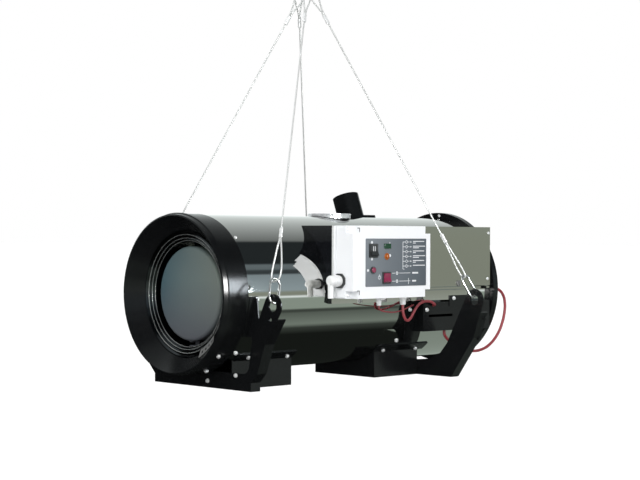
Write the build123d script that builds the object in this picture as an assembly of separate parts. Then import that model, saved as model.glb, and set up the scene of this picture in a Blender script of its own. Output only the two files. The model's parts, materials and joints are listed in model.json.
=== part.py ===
from build123d import *
import os
from math import acos, asin, atan2, cos, degrees, hypot, radians, sin, tan

os.makedirs("parts", exist_ok=True)

# Hanging diesel space heater, in millimetres. The casing lies along +X, from the hot air outlet to
# the fan at the rear. The control box is on the -Y side, and +Z is up. The sizes below are measured
# from the casing's axis and its front lip, and the whole is then placed so that the origin is the
# bearing point inside the top of the hanging link.

# Clearances
FIT = 0.3
SHAFT_FIT = 0.05

# Casing
CASING_R = 225.0
CASING_WALL = 1.5
CASING_START = 20.0
CASING_END = 1118.0
SEAT_R = CASING_R + FIT

# Front cowl and outlet rings
COWL_WALL = 2.0
COWL_END = 89.0
COWL_BEAD = 2.7
COWL_BEAD_START = 18.0
COWL_BEAD_END = 27.0
LIP_STEP = 3.5
LIP_R = CASING_R - LIP_STEP
CHAMBER_R = 135.0
OUTLET_GAP = 14.3
RING_WALL = 1.2
RING_STEPS = 3
RING_FALL = 10.0
RING_RUN = 4.3
RING_STEP_BACK = 2.0
SLEEVE_R = CHAMBER_R + OUTLET_GAP + RING_WALL
FUNNEL_END = 49.0
FUNNEL_R = SLEEVE_R + RING_STEPS * RING_FALL + FIT
SLEEVE_START = FUNNEL_END + RING_STEPS * RING_RUN
SLEEVE_LENGTH = 48.0
SLEEVE_END = SLEEVE_START + SLEEVE_LENGTH

# Combustion chamber and flue
CHAMBER_WALL = 2.0
CHAMBER_START = 64.0
CHAMBER_END = 700.0
CHAMBER_ROUND = 9.0
LEG_WALL = 3.0
LEG_LENGTH = 30.0
LEG_PLACES = (200.0, 640.0)
LEG_TURNS = (45.0, 135.0, 225.0, 315.0)
TAB_WIDTH = 16.0
TAB_WALL = 2.0
TAB_LENGTH = 24.0
FLUE_X = 620.0
FLUE_R = 62.0
FLUE_WALL = 2.0
FLUE_RISE = 7.0
FLUE_TOP = CASING_R + FLUE_RISE
COLLAR_WALL = 3.2
COLLAR_R = FLUE_R + FIT + COLLAR_WALL
COLLAR_RISE = 9.5
COLLAR_DROP = 4.5
COLLAR_TOP = CASING_R + COLLAR_RISE
COLLAR_BASE = CASING_R - COLLAR_DROP
COLLAR_BEAD = 1.6
SADDLE_RING_WALL = 1.0

# Air intake
INTAKE_X = 799.0
INTAKE_TURN = 20.4
INTAKE_R = 42.0
INTAKE_WALL = 2.0
INTAKE_LENGTH = 84.0
INTAKE_PLATE = 112.0
INTAKE_PLATE_WALL = 3.0

# Sheet frames that carry the casing. Their outlines are points on one side, each given by how far
# it stands out from the casing's radius and by its height.
FRAME_WALL = 4.0
FRAME_DROP = 42.0
FRAME_BASE = -CASING_R - FRAME_DROP
FLANGE_DEPTH = 35.0
FLANGE_TOP = -64.0
EYE_R = 34.0
EYE_Z = -27.0
EYE_HOLE_R = 15.0
FRONT_FRAME_X = 110.0
FRONT_BASE_HALF = 214.0
FRONT_HEEL = 25.0
FRONT_REACH = 77.0
FRONT_EYE_Y = CASING_R + FRONT_REACH
FRONT_HIP = (15.0, -216.0)
FRONT_KNEE = (47.0, -133.0)
FRONT_SLIT = (19.5, -66.0)
FRONT_TAB = (13.0, -6.0)
FRONT_WINDOW = ((50.0, -219.0), (203.0, -219.0), (219.0, -115.0), (50.0, -115.0))
FRONT_WINDOW_ROUNDS = (1.0, 26.0, 4.0, 1.0)
STRAP_START = 92.3
STRAP_END = 122.0
STRAP_WALL = 3.0
STRAP_LOW = -30.0
STRAP_HIGH = -0.5
ARM_HOLE = (68.0, -64.0)
ARM_HOLE_R = 5.0
REAR_FRAME_X = 881.0
REAR_BASE_HALF = 272.0
REAR_REACH = 140.0
REAR_EYE_Y = CASING_R + REAR_REACH
REAR_KNEE = (136.0, -143.0)
REAR_CROOK = ((30.0, -163.0), (1.0, -196.0), (-40.0, -215.0))
SHELF_OUT = 4.0
SHELF_Z = -220.0
FRAME_SINK = 75.0

# Saddle boxes under the casing
SADDLE_HALF = 130.0
SADDLE_WALL = 3.0
SADDLE_FLANGE_LOW = -47.5
FOOT_END = 341.0
MID_START = 688.0
MID_FLANGE_START = 680.0
MID_FLANGE_END = 905.0
BOX_STRAP_LOW = (783.0, 849.0)
BOX_STRAP_NECK = (738.0, 812.0)
BOX_STRAP_HIGH = (730.0, 830.0)
BOX_STRAP_GAP = 3.1
BOX_STRAP_BASE = BOX_STRAP_GAP + SEAT_R * sin(radians(SADDLE_FLANGE_LOW))
BOX_STRAP_WAIST = -90.0
BOX_STRAP_TOP = -24.0

# Side cover and lower housing
COVER_START = 397.0
COVER_END = 1105.0
COVER_DROP = 29.0
COVER_GAP = 14.0
COVER_TOP = CASING_R - COVER_DROP
COVER_Y = -CASING_R - COVER_GAP
COVER_WALL = 1.5
COVER_ROOT = -75.0
FOLD_TOP = 11.0
FOLD_DEPTH = 2.5
SKIRT_END = 1012.0
SKIRT_BASE = -30.0
MOUTH_START = 1017.0
MOUTH_END = 1091.0
MOUTH_TOP = 9.0
LOCK_X = 953.0
LOCK_Z = 20.0
LOCK_R = 9.0
LOCK_HEAD = 3.0
LOCK_SLOT = 2.0
LOCK_STEM_R = 4.0
LOCK_STEM = 14.0
HOUSING_START = 790.0
HOUSING_END = 1103.0
HOUSING_TOP = -36.0
HOUSING_BASE = -125.0
HOUSING_ROOT = -110.0
HOUSING_WALL = 2.0
HOUSING_SLOT_START = 815.0
HOUSING_SLOT_END = 925.0
HOUSING_SLOT_Z = -78.0
HOUSING_SLOT = 8.0
HOUSING_TAB_START = 908.0
HOUSING_TAB_END = 1003.0
HOUSING_TAB_TOP = -17.0
HOUSING_TAB_BASE = -50.0

# Control box
BOX_START = 404.0
BOX_END = 732.0
BOX_BASE = -14.0
BOX_TOP = COVER_TOP
BOX_DEPTH = 79.0
BOX_FRONT = COVER_Y - BOX_DEPTH
BOX_WALL = 3.0
BOX_ROUND = 5.0
BASE_DEPTH = 10.0
GROOVE = 2.0
NOTCH = 22.0
NOTCH_DEPTH = 30.0
LABEL_START = 455.0
LABEL_END = 713.0
LABEL_BASE = 20.0
LABEL_TOP = 159.0
LABEL_WALL = 0.8

# Controls on the box
BEZEL = 3.5
BEZEL_RIM = 3.3
SWITCH_DEPTH = 20.0
MAIN_X = 541.0
MAIN_Z = 45.0
MAIN_WIDTH = 26.0
MAIN_HEIGHT = 28.0
SELECT_X = 486.0
SELECT_Z = 124.0
SELECT_WIDTH = 28.0
SELECT_HEIGHT = 34.0
ROCKER_TILT = 10.0
ROCKER_DIP = 5.0
ROCKER_FRONT = 9.0
ROCKER_PIN_R = 1.5
ROCKER_PIN = 1.2
ORANGE_X = 543.0
ORANGE_Z = 107.0
ORANGE_R = 10.0
GREEN_X = 545.0
GREEN_Z = 137.0
GREEN_WIDTH = 28.0
GREEN_HEIGHT = 15.0
LAMP_RISE = 3.0
RESET_X = 485.0
RESET_Z = 68.0
RESET_R = 7.5
RESET_COLLAR_R = 10.5
RESET_RISE = 6.0
RESET_ROUND = 1.0
RESET_STEM_R = 3.0
RESET_TRAVEL = 3.0

# Socket, plug and cable glands of the box
SOCKET_OUT = 28.0
SOCKET_Y = COVER_Y - SOCKET_OUT
SOCKET_Z = 37.0
SOCKET_ACROSS = 45.0
SOCKET_SIDES = 8
SOCKET_WALL = 6.0
PLUG_R = 16.0
PLUG_LENGTH = 40.0
PLUG_NECK_R = 8.5
PLUG_NECK_BASE = -13.0
GLAND_OUT = 39.0
GLAND_Y = COVER_Y - GLAND_OUT
GLAND_PLACES = ((553.0, 9.0), (656.0, 11.0))
GLAND_NUT = 8.0
GLAND_LENGTH = 24.0

# Fan and its guard
RIM_STEP = 18.7
RIM_R = CASING_R + RIM_STEP
RIM_WALL = 2.0
RIM_END = 1140.0
RIM_SLEEVE_START = 1096.0
GUARD_DEPTH = 4.0
GUARD_WIRE = 3.0
GUARD_RINGS = 7
GUARD_BARS = 8
GUARD_PLATE_R = 60.0
GUARD_PLATE = 2.0
MOTOR_R = 55.0
MOTOR_START = 1100.0
SHAFT_R = 8.0
HUB_R = 62.0
HUB_START = 1040.0
HUB_END = 1098.0
TIP_GAP = 15.0
BLADE_R = CASING_R - TIP_GAP
BLADE_SINK = 12.4
BLADE_COUNT = 7
BLADE_WALL = 3.0
BLADE_ROOT = 44.0
BLADE_TIP = 66.0
BLADE_ROOT_PITCH = 42.0
BLADE_TIP_PITCH = 66.0

# Burner behind the chamber
BURNER_R = 80.0
BURNER_TUBE_R = 58.0
BURNER_FLANGE = 6.0
BURNER_TUBE = 40.0
BURNER_END = 840.0

# Rope gear
HANG_X = 512.0
BAR_Z = 905.0
LINK_R = 6.5
LINK_INNER_WIDTH = 84.0
LINK_INNER_HEIGHT = 120.0
LINK_CORNER = 6.0
HANG_Z = BAR_Z + LINK_R + LINK_INNER_HEIGHT
ROPE_R = 2.5
ROPE_INNER_STEP = 11.0
ROPE_OUTER_STEP = 28.0
HOOK_R = 3.5
HOOK_WIDTH = 40.0
HOOK_LENGTH = 80.0
HOOK_DROP = 5.2
GATE_R = 3.0
GATE_START = 21.0
GATE_END = 56.0
GATE_GAP = 0.4
LOOP_HALF = 17.0
LOOP_SHOULDER = 48.0
LOWER_LOOP = 118.0
UPPER_LOOP = 80.0
UPPER_LOOP_HALF = 15.0
UPPER_SHOULDER = 34.0
FERRULE = 30.0
FERRULE_WIDTH = 12.6
FERRULE_DEPTH = 7.4

# Leads
LEAD_V_R = 4.0
LEAD_THIN_R = 2.0
LEAD_LOOP_R = 4.5
LEAD_ARC = 0.45

LOW = (Align.CENTER, Align.CENTER, Align.MIN)
PLACE = Location((-HANG_X, 0, -HANG_Z))


def save(name, shape):
    export_step(PLACE * shape, f"parts/{name}.step")


def rod_x(radius, start, end):
    return Pos(start, 0, 0) * Rot(0, 90, 0) * Cylinder(radius, end - start, align=LOW)


def rod_y(radius, x, z, front, back):
    # A round bar along Y, from its front face at low y to its back face.
    return Pos(x, back, z) * Rot(90, 0, 0) * Cylinder(radius, back - front, align=LOW)


def block(x, y, z):
    # A box between three pairs of limits.
    size = (x[1] - x[0], y[1] - y[0], z[1] - z[0])
    return Pos(x[0], y[0], z[0]) * Box(*size, align=(Align.MIN, Align.MIN, Align.MIN))


def tube_x(radius, wall, start, end):
    return rod_x(radius, start, end) - rod_x(radius - wall, start, end)


def spun(outline):
    # Turns a face drawn as (x, radius) about the casing's axis.
    return revolve(outline, Axis.X, 360)


def sheet_line(points, wall, side):
    # The cut face of a folded or spun sheet that follows the points.
    return make_face(offset(Polyline(*points), amount=wall, side=side, kind=Kind.INTERSECTION))


def across(face, start, end):
    # Extrudes a face drawn as (y, z) between two x values.
    return extrude(Plane.YZ.offset(start) * face, end - start, dir=(1, 0, 0))


def along_y(face, front, back):
    # Extrudes a face drawn as (x, z) between two y values.
    return extrude(Plane.XZ.offset(-back) * face, back - front, dir=(0, -1, 0))


def both_sides(shape):
    return shape + mirror(shape, about=Plane.XZ)


def arc_sheet(wall, low, high, start, end):
    # A curved sheet that lies on the casing on the +Y side, between two elevations in degrees.
    face = Pos((start + end) / 2, SEAT_R + wall / 2) * Rectangle(end - start, wall)
    return Rot(low, 0, 0) * revolve(face, Axis.X, high - low)


def touch(point, centre, radius, side):
    # Where a line from the point touches the circle.
    away = hypot(point[0] - centre[0], point[1] - centre[1])
    turn = atan2(point[1] - centre[1], point[0] - centre[0]) + side * acos(radius / away)
    return (centre[0] + radius * cos(turn), centre[1] + radius * sin(turn))


def at_height(low, high, z):
    # The point at the height z on the line between two points.
    share = (z - low[1]) / (high[1] - low[1])
    return (low[0] + share * (high[0] - low[0]), z)


def off_casing(point):
    # A point of a frame's outline as (y, z).
    return (CASING_R + point[0], point[1])


def intake_place():
    return Pos(INTAKE_X, 0, 0) * Rot(-INTAKE_TURN, 0, 0)


def make_casing():
    shell = tube_x(CASING_R, CASING_WALL, CASING_START, CASING_END)
    shell -= Pos(FLUE_X, 0, 0) * Cylinder(FLUE_R + FIT, CASING_R + CASING_WALL, align=LOW)
    shell -= intake_place() * Cylinder(INTAKE_R - INTAKE_WALL, CASING_R + CASING_WALL, align=LOW)
    save("casing", shell)


def make_front_cowl():
    band_r = SEAT_R + COWL_WALL
    bead_r = band_r + COWL_BEAD
    line = (
        (COWL_END, band_r),
        (COWL_BEAD_END + COWL_BEAD, band_r),
        (COWL_BEAD_END, bead_r),
        (COWL_BEAD_START, bead_r),
        (COWL_BEAD_START - COWL_BEAD, band_r),
        (COWL_WALL, band_r - COWL_WALL),
        (0.0, LIP_R),
        (FUNNEL_END, FUNNEL_R),
    )
    save("front_cowl", spun(sheet_line(line, COWL_WALL, Side.LEFT)))


def make_outlet_rings():
    rim_r = FUNNEL_R - FIT
    line = [(SLEEVE_START, rim_r), (FUNNEL_END - RING_STEP_BACK, rim_r)]
    for step in range(RING_STEPS):
        x = FUNNEL_END + RING_RUN * step
        r = rim_r - RING_FALL * step
        line.append((x - RING_STEP_BACK, r - RING_STEP_BACK))
        line.append((x + RING_RUN, r - RING_FALL + RING_STEP_BACK))
    line.append((SLEEVE_START, SLEEVE_R))
    line.append((SLEEVE_END, SLEEVE_R))
    save("outlet_rings", spun(sheet_line(line, RING_WALL, Side.LEFT)))


def make_chamber():
    line = FilletPolyline(
        (CHAMBER_START, 0),
        (CHAMBER_START, CHAMBER_R),
        (CHAMBER_END, CHAMBER_R),
        (CHAMBER_END, BURNER_TUBE_R + FIT),
        radius=CHAMBER_ROUND,
    )
    shell = spun(make_face(offset(line, amount=CHAMBER_WALL, side=Side.RIGHT, kind=Kind.INTERSECTION)))
    shell -= Pos(FLUE_X, 0, 0) * Cylinder(FLUE_R - FLUE_WALL, CHAMBER_R + CHAMBER_WALL, align=LOW)
    save("chamber", shell)


def make_chamber_supports():
    inner = CHAMBER_R + FIT
    outer = CASING_R - CASING_WALL - FIT
    legs = []
    for x in LEG_PLACES:
        for turn in LEG_TURNS:
            leg = block((x, x + LEG_LENGTH), (-LEG_WALL / 2, LEG_WALL / 2), (inner, outer))
            legs.append(Rot(turn, 0, 0) * leg)
    low = -(SLEEVE_R - RING_WALL - FIT)
    start = CHAMBER_START + CHAMBER_ROUND
    length = (start, start + TAB_LENGTH)
    tab = block(length, (-TAB_WIDTH / 2, TAB_WIDTH / 2), (low, -inner))
    length = (start - TAB_WALL, start + TAB_LENGTH - TAB_WALL)
    tab -= block(length, (-TAB_WIDTH, TAB_WIDTH), (low + TAB_WALL, -inner - TAB_WALL))
    tab &= rod_x(SLEEVE_R - RING_WALL - FIT, start, start + TAB_LENGTH)
    tab -= rod_x(inner, start, start + TAB_LENGTH)
    save("chamber_supports", Compound(children=[*legs, tab]))


def make_flue():
    duct = Cylinder(FLUE_R, FLUE_TOP, align=LOW) - Cylinder(FLUE_R - FLUE_WALL, FLUE_TOP, align=LOW)
    duct = Pos(FLUE_X, 0, 0) * duct - rod_x(CHAMBER_R + FIT, CHAMBER_START, CHAMBER_END)
    save("flue_duct", duct)
    collar = Pos(0, 0, COLLAR_BASE) * Cylinder(COLLAR_R, COLLAR_TOP - COLLAR_BASE, align=LOW)
    collar += Pos(0, 0, COLLAR_TOP - 2 * COLLAR_BEAD) * Torus(COLLAR_R, COLLAR_BEAD)
    collar -= Cylinder(FLUE_R + FIT, COLLAR_TOP, align=LOW)
    ring_r = SEAT_R + SADDLE_RING_WALL
    save("flue_collar", Pos(FLUE_X, 0, 0) * collar - rod_x(ring_r, CASING_START, CASING_END))
    ring = Cylinder(COLLAR_R, COLLAR_TOP, align=LOW) - Cylinder(FLUE_R + FIT, COLLAR_TOP, align=LOW)
    low = ring & Cylinder(COLLAR_R, COLLAR_BASE, align=LOW)
    thin = Pos(FLUE_X, 0, 0) * ring & rod_x(ring_r, CASING_START, CASING_END)
    saddle = thin + Pos(FLUE_X, 0, 0) * low - rod_x(SEAT_R, CASING_START, CASING_END)
    save("flue_saddle", saddle)


def make_air_intake():
    half = INTAKE_PLATE / 2
    top = CASING_R + INTAKE_PLATE_WALL
    piece = block((-half, half), (-half, half), (0, top))
    piece = fillet(piece.edges().filter_by(Axis.Z), 2 * INTAKE_PLATE_WALL)
    piece += Cylinder(INTAKE_R, top + INTAKE_LENGTH, align=LOW)
    piece -= Cylinder(INTAKE_R - INTAKE_WALL, top + INTAKE_LENGTH, align=LOW)
    piece = intake_place() * piece - rod_x(SEAT_R, CASING_START, CASING_END)
    save("air_intake", piece)


def frame_flange(corners, start):
    # The turned edge of a frame, from one arm round the base to the other arm.
    line = corners + [(-y, z) for y, z in reversed(corners)]
    return across(sheet_line(line, FRAME_WALL, Side.RIGHT), start, start + FLANGE_DEPTH)


def make_front_frame():
    eye = (FRONT_EYE_Y, EYE_Z)
    knee = off_casing(FRONT_KNEE)
    slit = off_casing(FRONT_SLIT)
    hip = off_casing(FRONT_HIP)
    outer = touch(knee, eye, EYE_R, 1)
    inner = touch(slit, eye, EYE_R, -1)
    foot = (FRONT_BASE_HALF, FRAME_BASE)
    heel = (FRONT_BASE_HALF, FRAME_BASE + FRONT_HEEL)
    outline = (foot, heel, hip, knee, outer, inner, slit, off_casing(FRONT_TAB))
    side = Polygon((0, FRAME_BASE), *outline, (0, FRONT_TAB[1]))
    side += Pos(*eye) * Circle(EYE_R)
    side -= make_face(FilletPolyline(*FRONT_WINDOW, radius=FRONT_WINDOW_ROUNDS, close=True))
    side -= Pos(*eye) * Circle(EYE_HOLE_R)
    side -= Pos(*off_casing(ARM_HOLE)) * Circle(ARM_HOLE_R)
    plate = across(side, FRONT_FRAME_X, FRONT_FRAME_X + FRAME_WALL)
    plate += arc_sheet(STRAP_WALL, STRAP_LOW, STRAP_HIGH, STRAP_START, STRAP_END)
    plate -= rod_x(SEAT_R, CASING_START, CASING_END)
    corners = [at_height(knee, outer, FLANGE_TOP), knee, hip, heel, foot]
    save("front_frame", both_sides(plate) + frame_flange(corners, FRONT_FRAME_X))


def make_rear_frame():
    eye = (REAR_EYE_Y, EYE_Z)
    knee = off_casing(REAR_KNEE)
    crook = [off_casing(point) for point in REAR_CROOK]
    outer = touch(knee, eye, EYE_R, 1)
    inner = touch(crook[0], eye, EYE_R, -1)
    foot = (REAR_BASE_HALF, FRAME_BASE)
    saddle = SADDLE_HALF - SADDLE_WALL - FIT
    top = FRAME_SINK - CASING_R
    shelf = ((SADDLE_HALF + SHELF_OUT, SHELF_Z), (saddle, SHELF_Z), (saddle, top), (0, top))
    side = Polygon((0, FRAME_BASE), foot, knee, outer, inner, *crook, *shelf)
    side += Pos(*eye) * Circle(EYE_R)
    side -= Pos(*eye) * Circle(EYE_HOLE_R)
    plate = across(side, REAR_FRAME_X, REAR_FRAME_X + FRAME_WALL)
    plate -= rod_x(SEAT_R, CASING_START, CASING_END)
    corners = [at_height(knee, outer, FLANGE_TOP), knee, foot]
    save("rear_frame", both_sides(plate) + frame_flange(corners, REAR_FRAME_X))


def saddle_box(start, end, hollow_start, flange_start, flange_end):
    half = SADDLE_HALF
    wall = SADDLE_WALL
    box = block((start, end), (-half, half), (FRAME_BASE, -half))
    box -= block((hollow_start, end - wall), (wall - half, half - wall), (FRAME_BASE + wall, 0))
    root = -degrees(acos((half - wall) / SEAT_R))
    flange = arc_sheet(wall, root, SADDLE_FLANGE_LOW, flange_start, flange_end)
    return box + both_sides(flange) - rod_x(SEAT_R, CASING_START, CASING_END)


def make_saddle_boxes():
    start = FRONT_FRAME_X + FRAME_WALL
    foot = saddle_box(start, FOOT_END, start, start + FRAME_WALL, FOOT_END)
    reach = FRONT_FRAME_X + FLANGE_DEPTH + FIT
    height = (FRAME_BASE, FRAME_BASE + FRAME_WALL + FIT)
    foot -= block((start, reach), (-SADDLE_HALF, SADDLE_HALF), height)
    save("front_foot", foot)
    hollow = MID_START + SADDLE_WALL
    save("mid_box", saddle_box(MID_START, REAR_FRAME_X, hollow, MID_FLANGE_START, MID_FLANGE_END))


def make_box_strap():
    # The curved strap narrows between its two pads.
    levels = (BOX_STRAP_BASE, BOX_STRAP_WAIST, BOX_STRAP_TOP)
    widths = (BOX_STRAP_LOW, BOX_STRAP_NECK, BOX_STRAP_HIGH)
    right = [(x[1], z) for x, z in zip(widths, levels)]
    left = [(x[0], z) for x, z in zip(widths, levels)]
    strap = along_y(Polygon(*right, *reversed(left)), -SEAT_R - STRAP_WALL, HOUSING_ROOT)
    strap &= tube_x(SEAT_R + STRAP_WALL, STRAP_WALL, CASING_START, CASING_END)
    save("box_strap", strap)


def make_lower_box():
    length = (HOUSING_START, HOUSING_END)
    height = (HOUSING_BASE, HOUSING_TOP)
    wall = HOUSING_WALL
    box = block(length, (COVER_Y, HOUSING_ROOT), height)
    inner_length = (HOUSING_START + wall, HOUSING_END - wall)
    inner_height = (HOUSING_BASE + wall, HOUSING_TOP - wall)
    box -= block(inner_length, (COVER_Y + wall, HOUSING_ROOT), inner_height)
    slot = (HOUSING_SLOT_START, HOUSING_SLOT_END)
    slot_height = (HOUSING_SLOT_Z - HOUSING_SLOT / 2, HOUSING_SLOT_Z + HOUSING_SLOT / 2)
    box -= block(slot, (COVER_Y, COVER_Y + wall), slot_height)
    front = COVER_Y - FIT
    tab = (HOUSING_TAB_START, HOUSING_TAB_END)
    box += block(tab, (front - wall, front), (HOUSING_TAB_BASE, HOUSING_TAB_TOP))
    box += block(tab, (front - wall, COVER_Y), (HOUSING_TAB_BASE, HOUSING_TOP - FIT))
    box -= rod_x(SEAT_R, CASING_START, CASING_END)
    box -= rod_x(SEAT_R + STRAP_WALL + FIT, HOUSING_START, BOX_STRAP_LOW[1] + 2 * STRAP_WALL)
    save("lower_box", box)


def make_side_cover():
    line = (
        (COVER_ROOT, COVER_TOP),
        (COVER_Y, COVER_TOP),
        (COVER_Y, FOLD_TOP),
        (COVER_Y + FOLD_DEPTH, FOLD_TOP - FOLD_DEPTH),
        (COVER_Y + FOLD_DEPTH, FOLD_DEPTH),
        (COVER_Y, 0.0),
        (COVER_Y, SKIRT_BASE),
    )
    cover = across(sheet_line(line, COVER_WALL, Side.LEFT), COVER_START, COVER_END)
    end = Polygon(*line, (COVER_ROOT, SKIRT_BASE))
    cover += across(end, COVER_START, COVER_START + COVER_WALL)
    cover += across(end, COVER_END - COVER_WALL, COVER_END)
    cover -= block((SKIRT_END, COVER_END + COVER_WALL), (COVER_Y, 0), (SKIRT_BASE, 0))
    cover -= block((MOUTH_START, MOUTH_END), (COVER_Y, COVER_Y / 2), (SKIRT_BASE, MOUTH_TOP))
    cover -= rod_x(SEAT_R, CASING_START, CASING_END)
    cover -= rod_y(LOCK_STEM_R + SHAFT_FIT, LOCK_X, LOCK_Z, COVER_Y, COVER_Y + COVER_WALL)
    save("side_cover", cover)
    front = COVER_Y - FIT
    lock = rod_y(LOCK_R, LOCK_X, LOCK_Z, front - LOCK_HEAD, front)
    slot_half = LOCK_SLOT / 2
    slot = (LOCK_X - slot_half, LOCK_X + slot_half)
    lock -= block(slot, (front - LOCK_HEAD, front - slot_half), (LOCK_Z - LOCK_R, LOCK_Z + LOCK_R))
    lock += rod_y(LOCK_STEM_R, LOCK_X, LOCK_Z, front, front + LOCK_STEM)
    save("cover_lock", lock)


def box_cutouts(front, back):
    # The holes that the controls pass through, cut alike in the lid and in the label plate.
    holes = switch_body(MAIN_X, MAIN_Z, MAIN_WIDTH, MAIN_HEIGHT, front, back)
    holes += switch_body(SELECT_X, SELECT_Z, SELECT_WIDTH, SELECT_HEIGHT, front, back)
    holes += lamp_body(front, back)
    holes += green_body(front, back)
    holes += rod_y(RESET_R + BEZEL_RIM / 2, RESET_X, RESET_Z, front, back)
    return holes


def switch_body(x, z, width, height, front, back):
    half_x = (width + BEZEL_RIM) / 2
    half_z = (height + BEZEL_RIM) / 2
    return block((x - half_x, x + half_x), (front, back), (z - half_z, z + half_z))


def lamp_body(front, back):
    return rod_y(ORANGE_R - BEZEL_RIM / 2, ORANGE_X, ORANGE_Z, front, back)


def green_body(front, back):
    width = GREEN_WIDTH - 2 * BEZEL_RIM
    height = GREEN_HEIGHT - 2 * BEZEL_RIM
    return switch_body(GREEN_X, GREEN_Z, width, height, front, back)


def box_outline(inset, front, back):
    x = (BOX_START + inset, BOX_END - inset)
    z = (BOX_BASE + inset, BOX_TOP - inset)
    shape = block(x, (front, back), z)
    return fillet(shape.edges().filter_by(Axis.Y), BOX_ROUND - inset)


def box_notches(grow):
    # The stepped corners that hold the lid screws.
    size = NOTCH + grow
    cuts = []
    for x in ((BOX_START, BOX_START + size), (BOX_END - size, BOX_END)):
        for z in ((BOX_BASE, BOX_BASE + size), (BOX_TOP - size, BOX_TOP)):
            cuts.append(block(x, (BOX_FRONT, BOX_FRONT + NOTCH_DEPTH + grow), z))
    return cuts


def make_control_box():
    base_front = COVER_Y - BASE_DEPTH
    lid_back = base_front - GROOVE
    base = box_outline(0, base_front, COVER_Y) + box_outline(GROOVE, lid_back, base_front)
    save("control_base", base)
    lid = box_outline(0, BOX_FRONT, lid_back) - box_notches(0)
    lid -= box_outline(BOX_WALL, BOX_FRONT + BOX_WALL, lid_back) - box_notches(BOX_WALL)
    lid -= box_cutouts(BOX_FRONT, BOX_FRONT + BOX_WALL)
    save("control_lid", lid)
    label_front = BOX_FRONT - LABEL_WALL
    label = block((LABEL_START, LABEL_END), (label_front, BOX_FRONT), (LABEL_BASE, LABEL_TOP))
    label = fillet(label.edges().filter_by(Axis.Y), BOX_ROUND / 2)
    save("label_plate", label - box_cutouts(label_front, BOX_FRONT))


def make_switch(name, x, z, width, height):
    back = BOX_FRONT - LABEL_WALL
    bezel_x = width / 2 + BEZEL_RIM
    bezel_z = height / 2 + BEZEL_RIM
    frame = block((x - bezel_x, x + bezel_x), (back - BEZEL, back), (z - bezel_z, z + bezel_z))
    frame = fillet(frame.edges().filter_by(Axis.Y), BEZEL / 2)
    frame += switch_body(x, z, width - FIT, height - FIT, back, back + SWITCH_DEPTH)
    open_x = width / 2 + FIT
    open_z = height / 2 + FIT
    depth = (back - BEZEL, back + SWITCH_DEPTH - FIT)
    frame -= block((x - open_x, x + open_x), depth, (z - open_z, z + open_z))
    pin_half = width / 2 + ROCKER_PIN
    pin = Pos(x - pin_half, back, z) * Rot(0, 90, 0)
    frame -= pin * Cylinder(ROCKER_PIN_R + SHAFT_FIT, 2 * pin_half, align=LOW)
    save(name + "_frame", frame)
    face = Polygon(
        (-ROCKER_FRONT, -height / 2),
        (BEZEL, -height / 2),
        (BEZEL, height / 2),
        (-ROCKER_FRONT, height / 2),
        (-ROCKER_DIP, 0),
    )
    face &= Circle(height / 2)
    rocker = across(face, -width / 2, width / 2)
    rocker = Pos(x, back, z) * Rot(-ROCKER_TILT, 0, 0) * rocker
    rocker += pin * Cylinder(ROCKER_PIN_R, 2 * pin_half, align=LOW)
    save(name, rocker)


def make_lamps():
    back = BOX_FRONT - LABEL_WALL
    depth = back + SWITCH_DEPTH
    lamp = rod_y(ORANGE_R, ORANGE_X, ORANGE_Z, back - LAMP_RISE / 2, back)
    lens = rod_y(ORANGE_R - BEZEL_RIM, ORANGE_X, ORANGE_Z, back - 2 * LAMP_RISE, back)
    lamp += fillet(lens.faces().sort_by(Axis.Y)[0].edges(), LAMP_RISE)
    lamp += rod_y(ORANGE_R - BEZEL_RIM / 2 - FIT, ORANGE_X, ORANGE_Z, back, depth)
    save("lamp_orange", lamp)
    half_x = GREEN_WIDTH / 2
    half_z = GREEN_HEIGHT / 2
    height = (GREEN_Z - half_z, GREEN_Z + half_z)
    green = block((GREEN_X - half_x, GREEN_X + half_x), (back - LAMP_RISE, back), height)
    green = fillet(green.edges().filter_by(Axis.Y) + green.faces().sort_by(Axis.Y)[0].edges(), LAMP_RISE / 2)
    inner = half_x - BEZEL_RIM / 2 - FIT
    tall = half_z - BEZEL_RIM / 2 - FIT
    green += block((GREEN_X - inner, GREEN_X + inner), (back, depth), (GREEN_Z - tall, GREEN_Z + tall))
    save("lamp_green", green)


def make_reset_button():
    back = BOX_FRONT - LABEL_WALL
    depth = back + SWITCH_DEPTH
    front = back - RESET_RISE
    rest = back - BEZEL + RESET_TRAVEL + FIT
    collar = rod_y(RESET_COLLAR_R, RESET_X, RESET_Z, back - BEZEL, back)
    collar += rod_y(RESET_R + BEZEL_RIM / 2 - FIT, RESET_X, RESET_Z, back, depth)
    collar -= rod_y(RESET_R + FIT, RESET_X, RESET_Z, back - BEZEL, rest + BEZEL)
    collar -= rod_y(RESET_STEM_R + SHAFT_FIT, RESET_X, RESET_Z, rest, depth)
    save("reset_collar", collar)
    button = rod_y(RESET_R, RESET_X, RESET_Z, front, rest + BEZEL - RESET_TRAVEL - FIT)
    button = fillet(button.faces().sort_by(Axis.Y)[0].edges(), RESET_ROUND)
    button += rod_y(RESET_STEM_R, RESET_X, RESET_Z, front + RESET_ROUND, depth - RESET_TRAVEL)
    save("reset_button", button)


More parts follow.
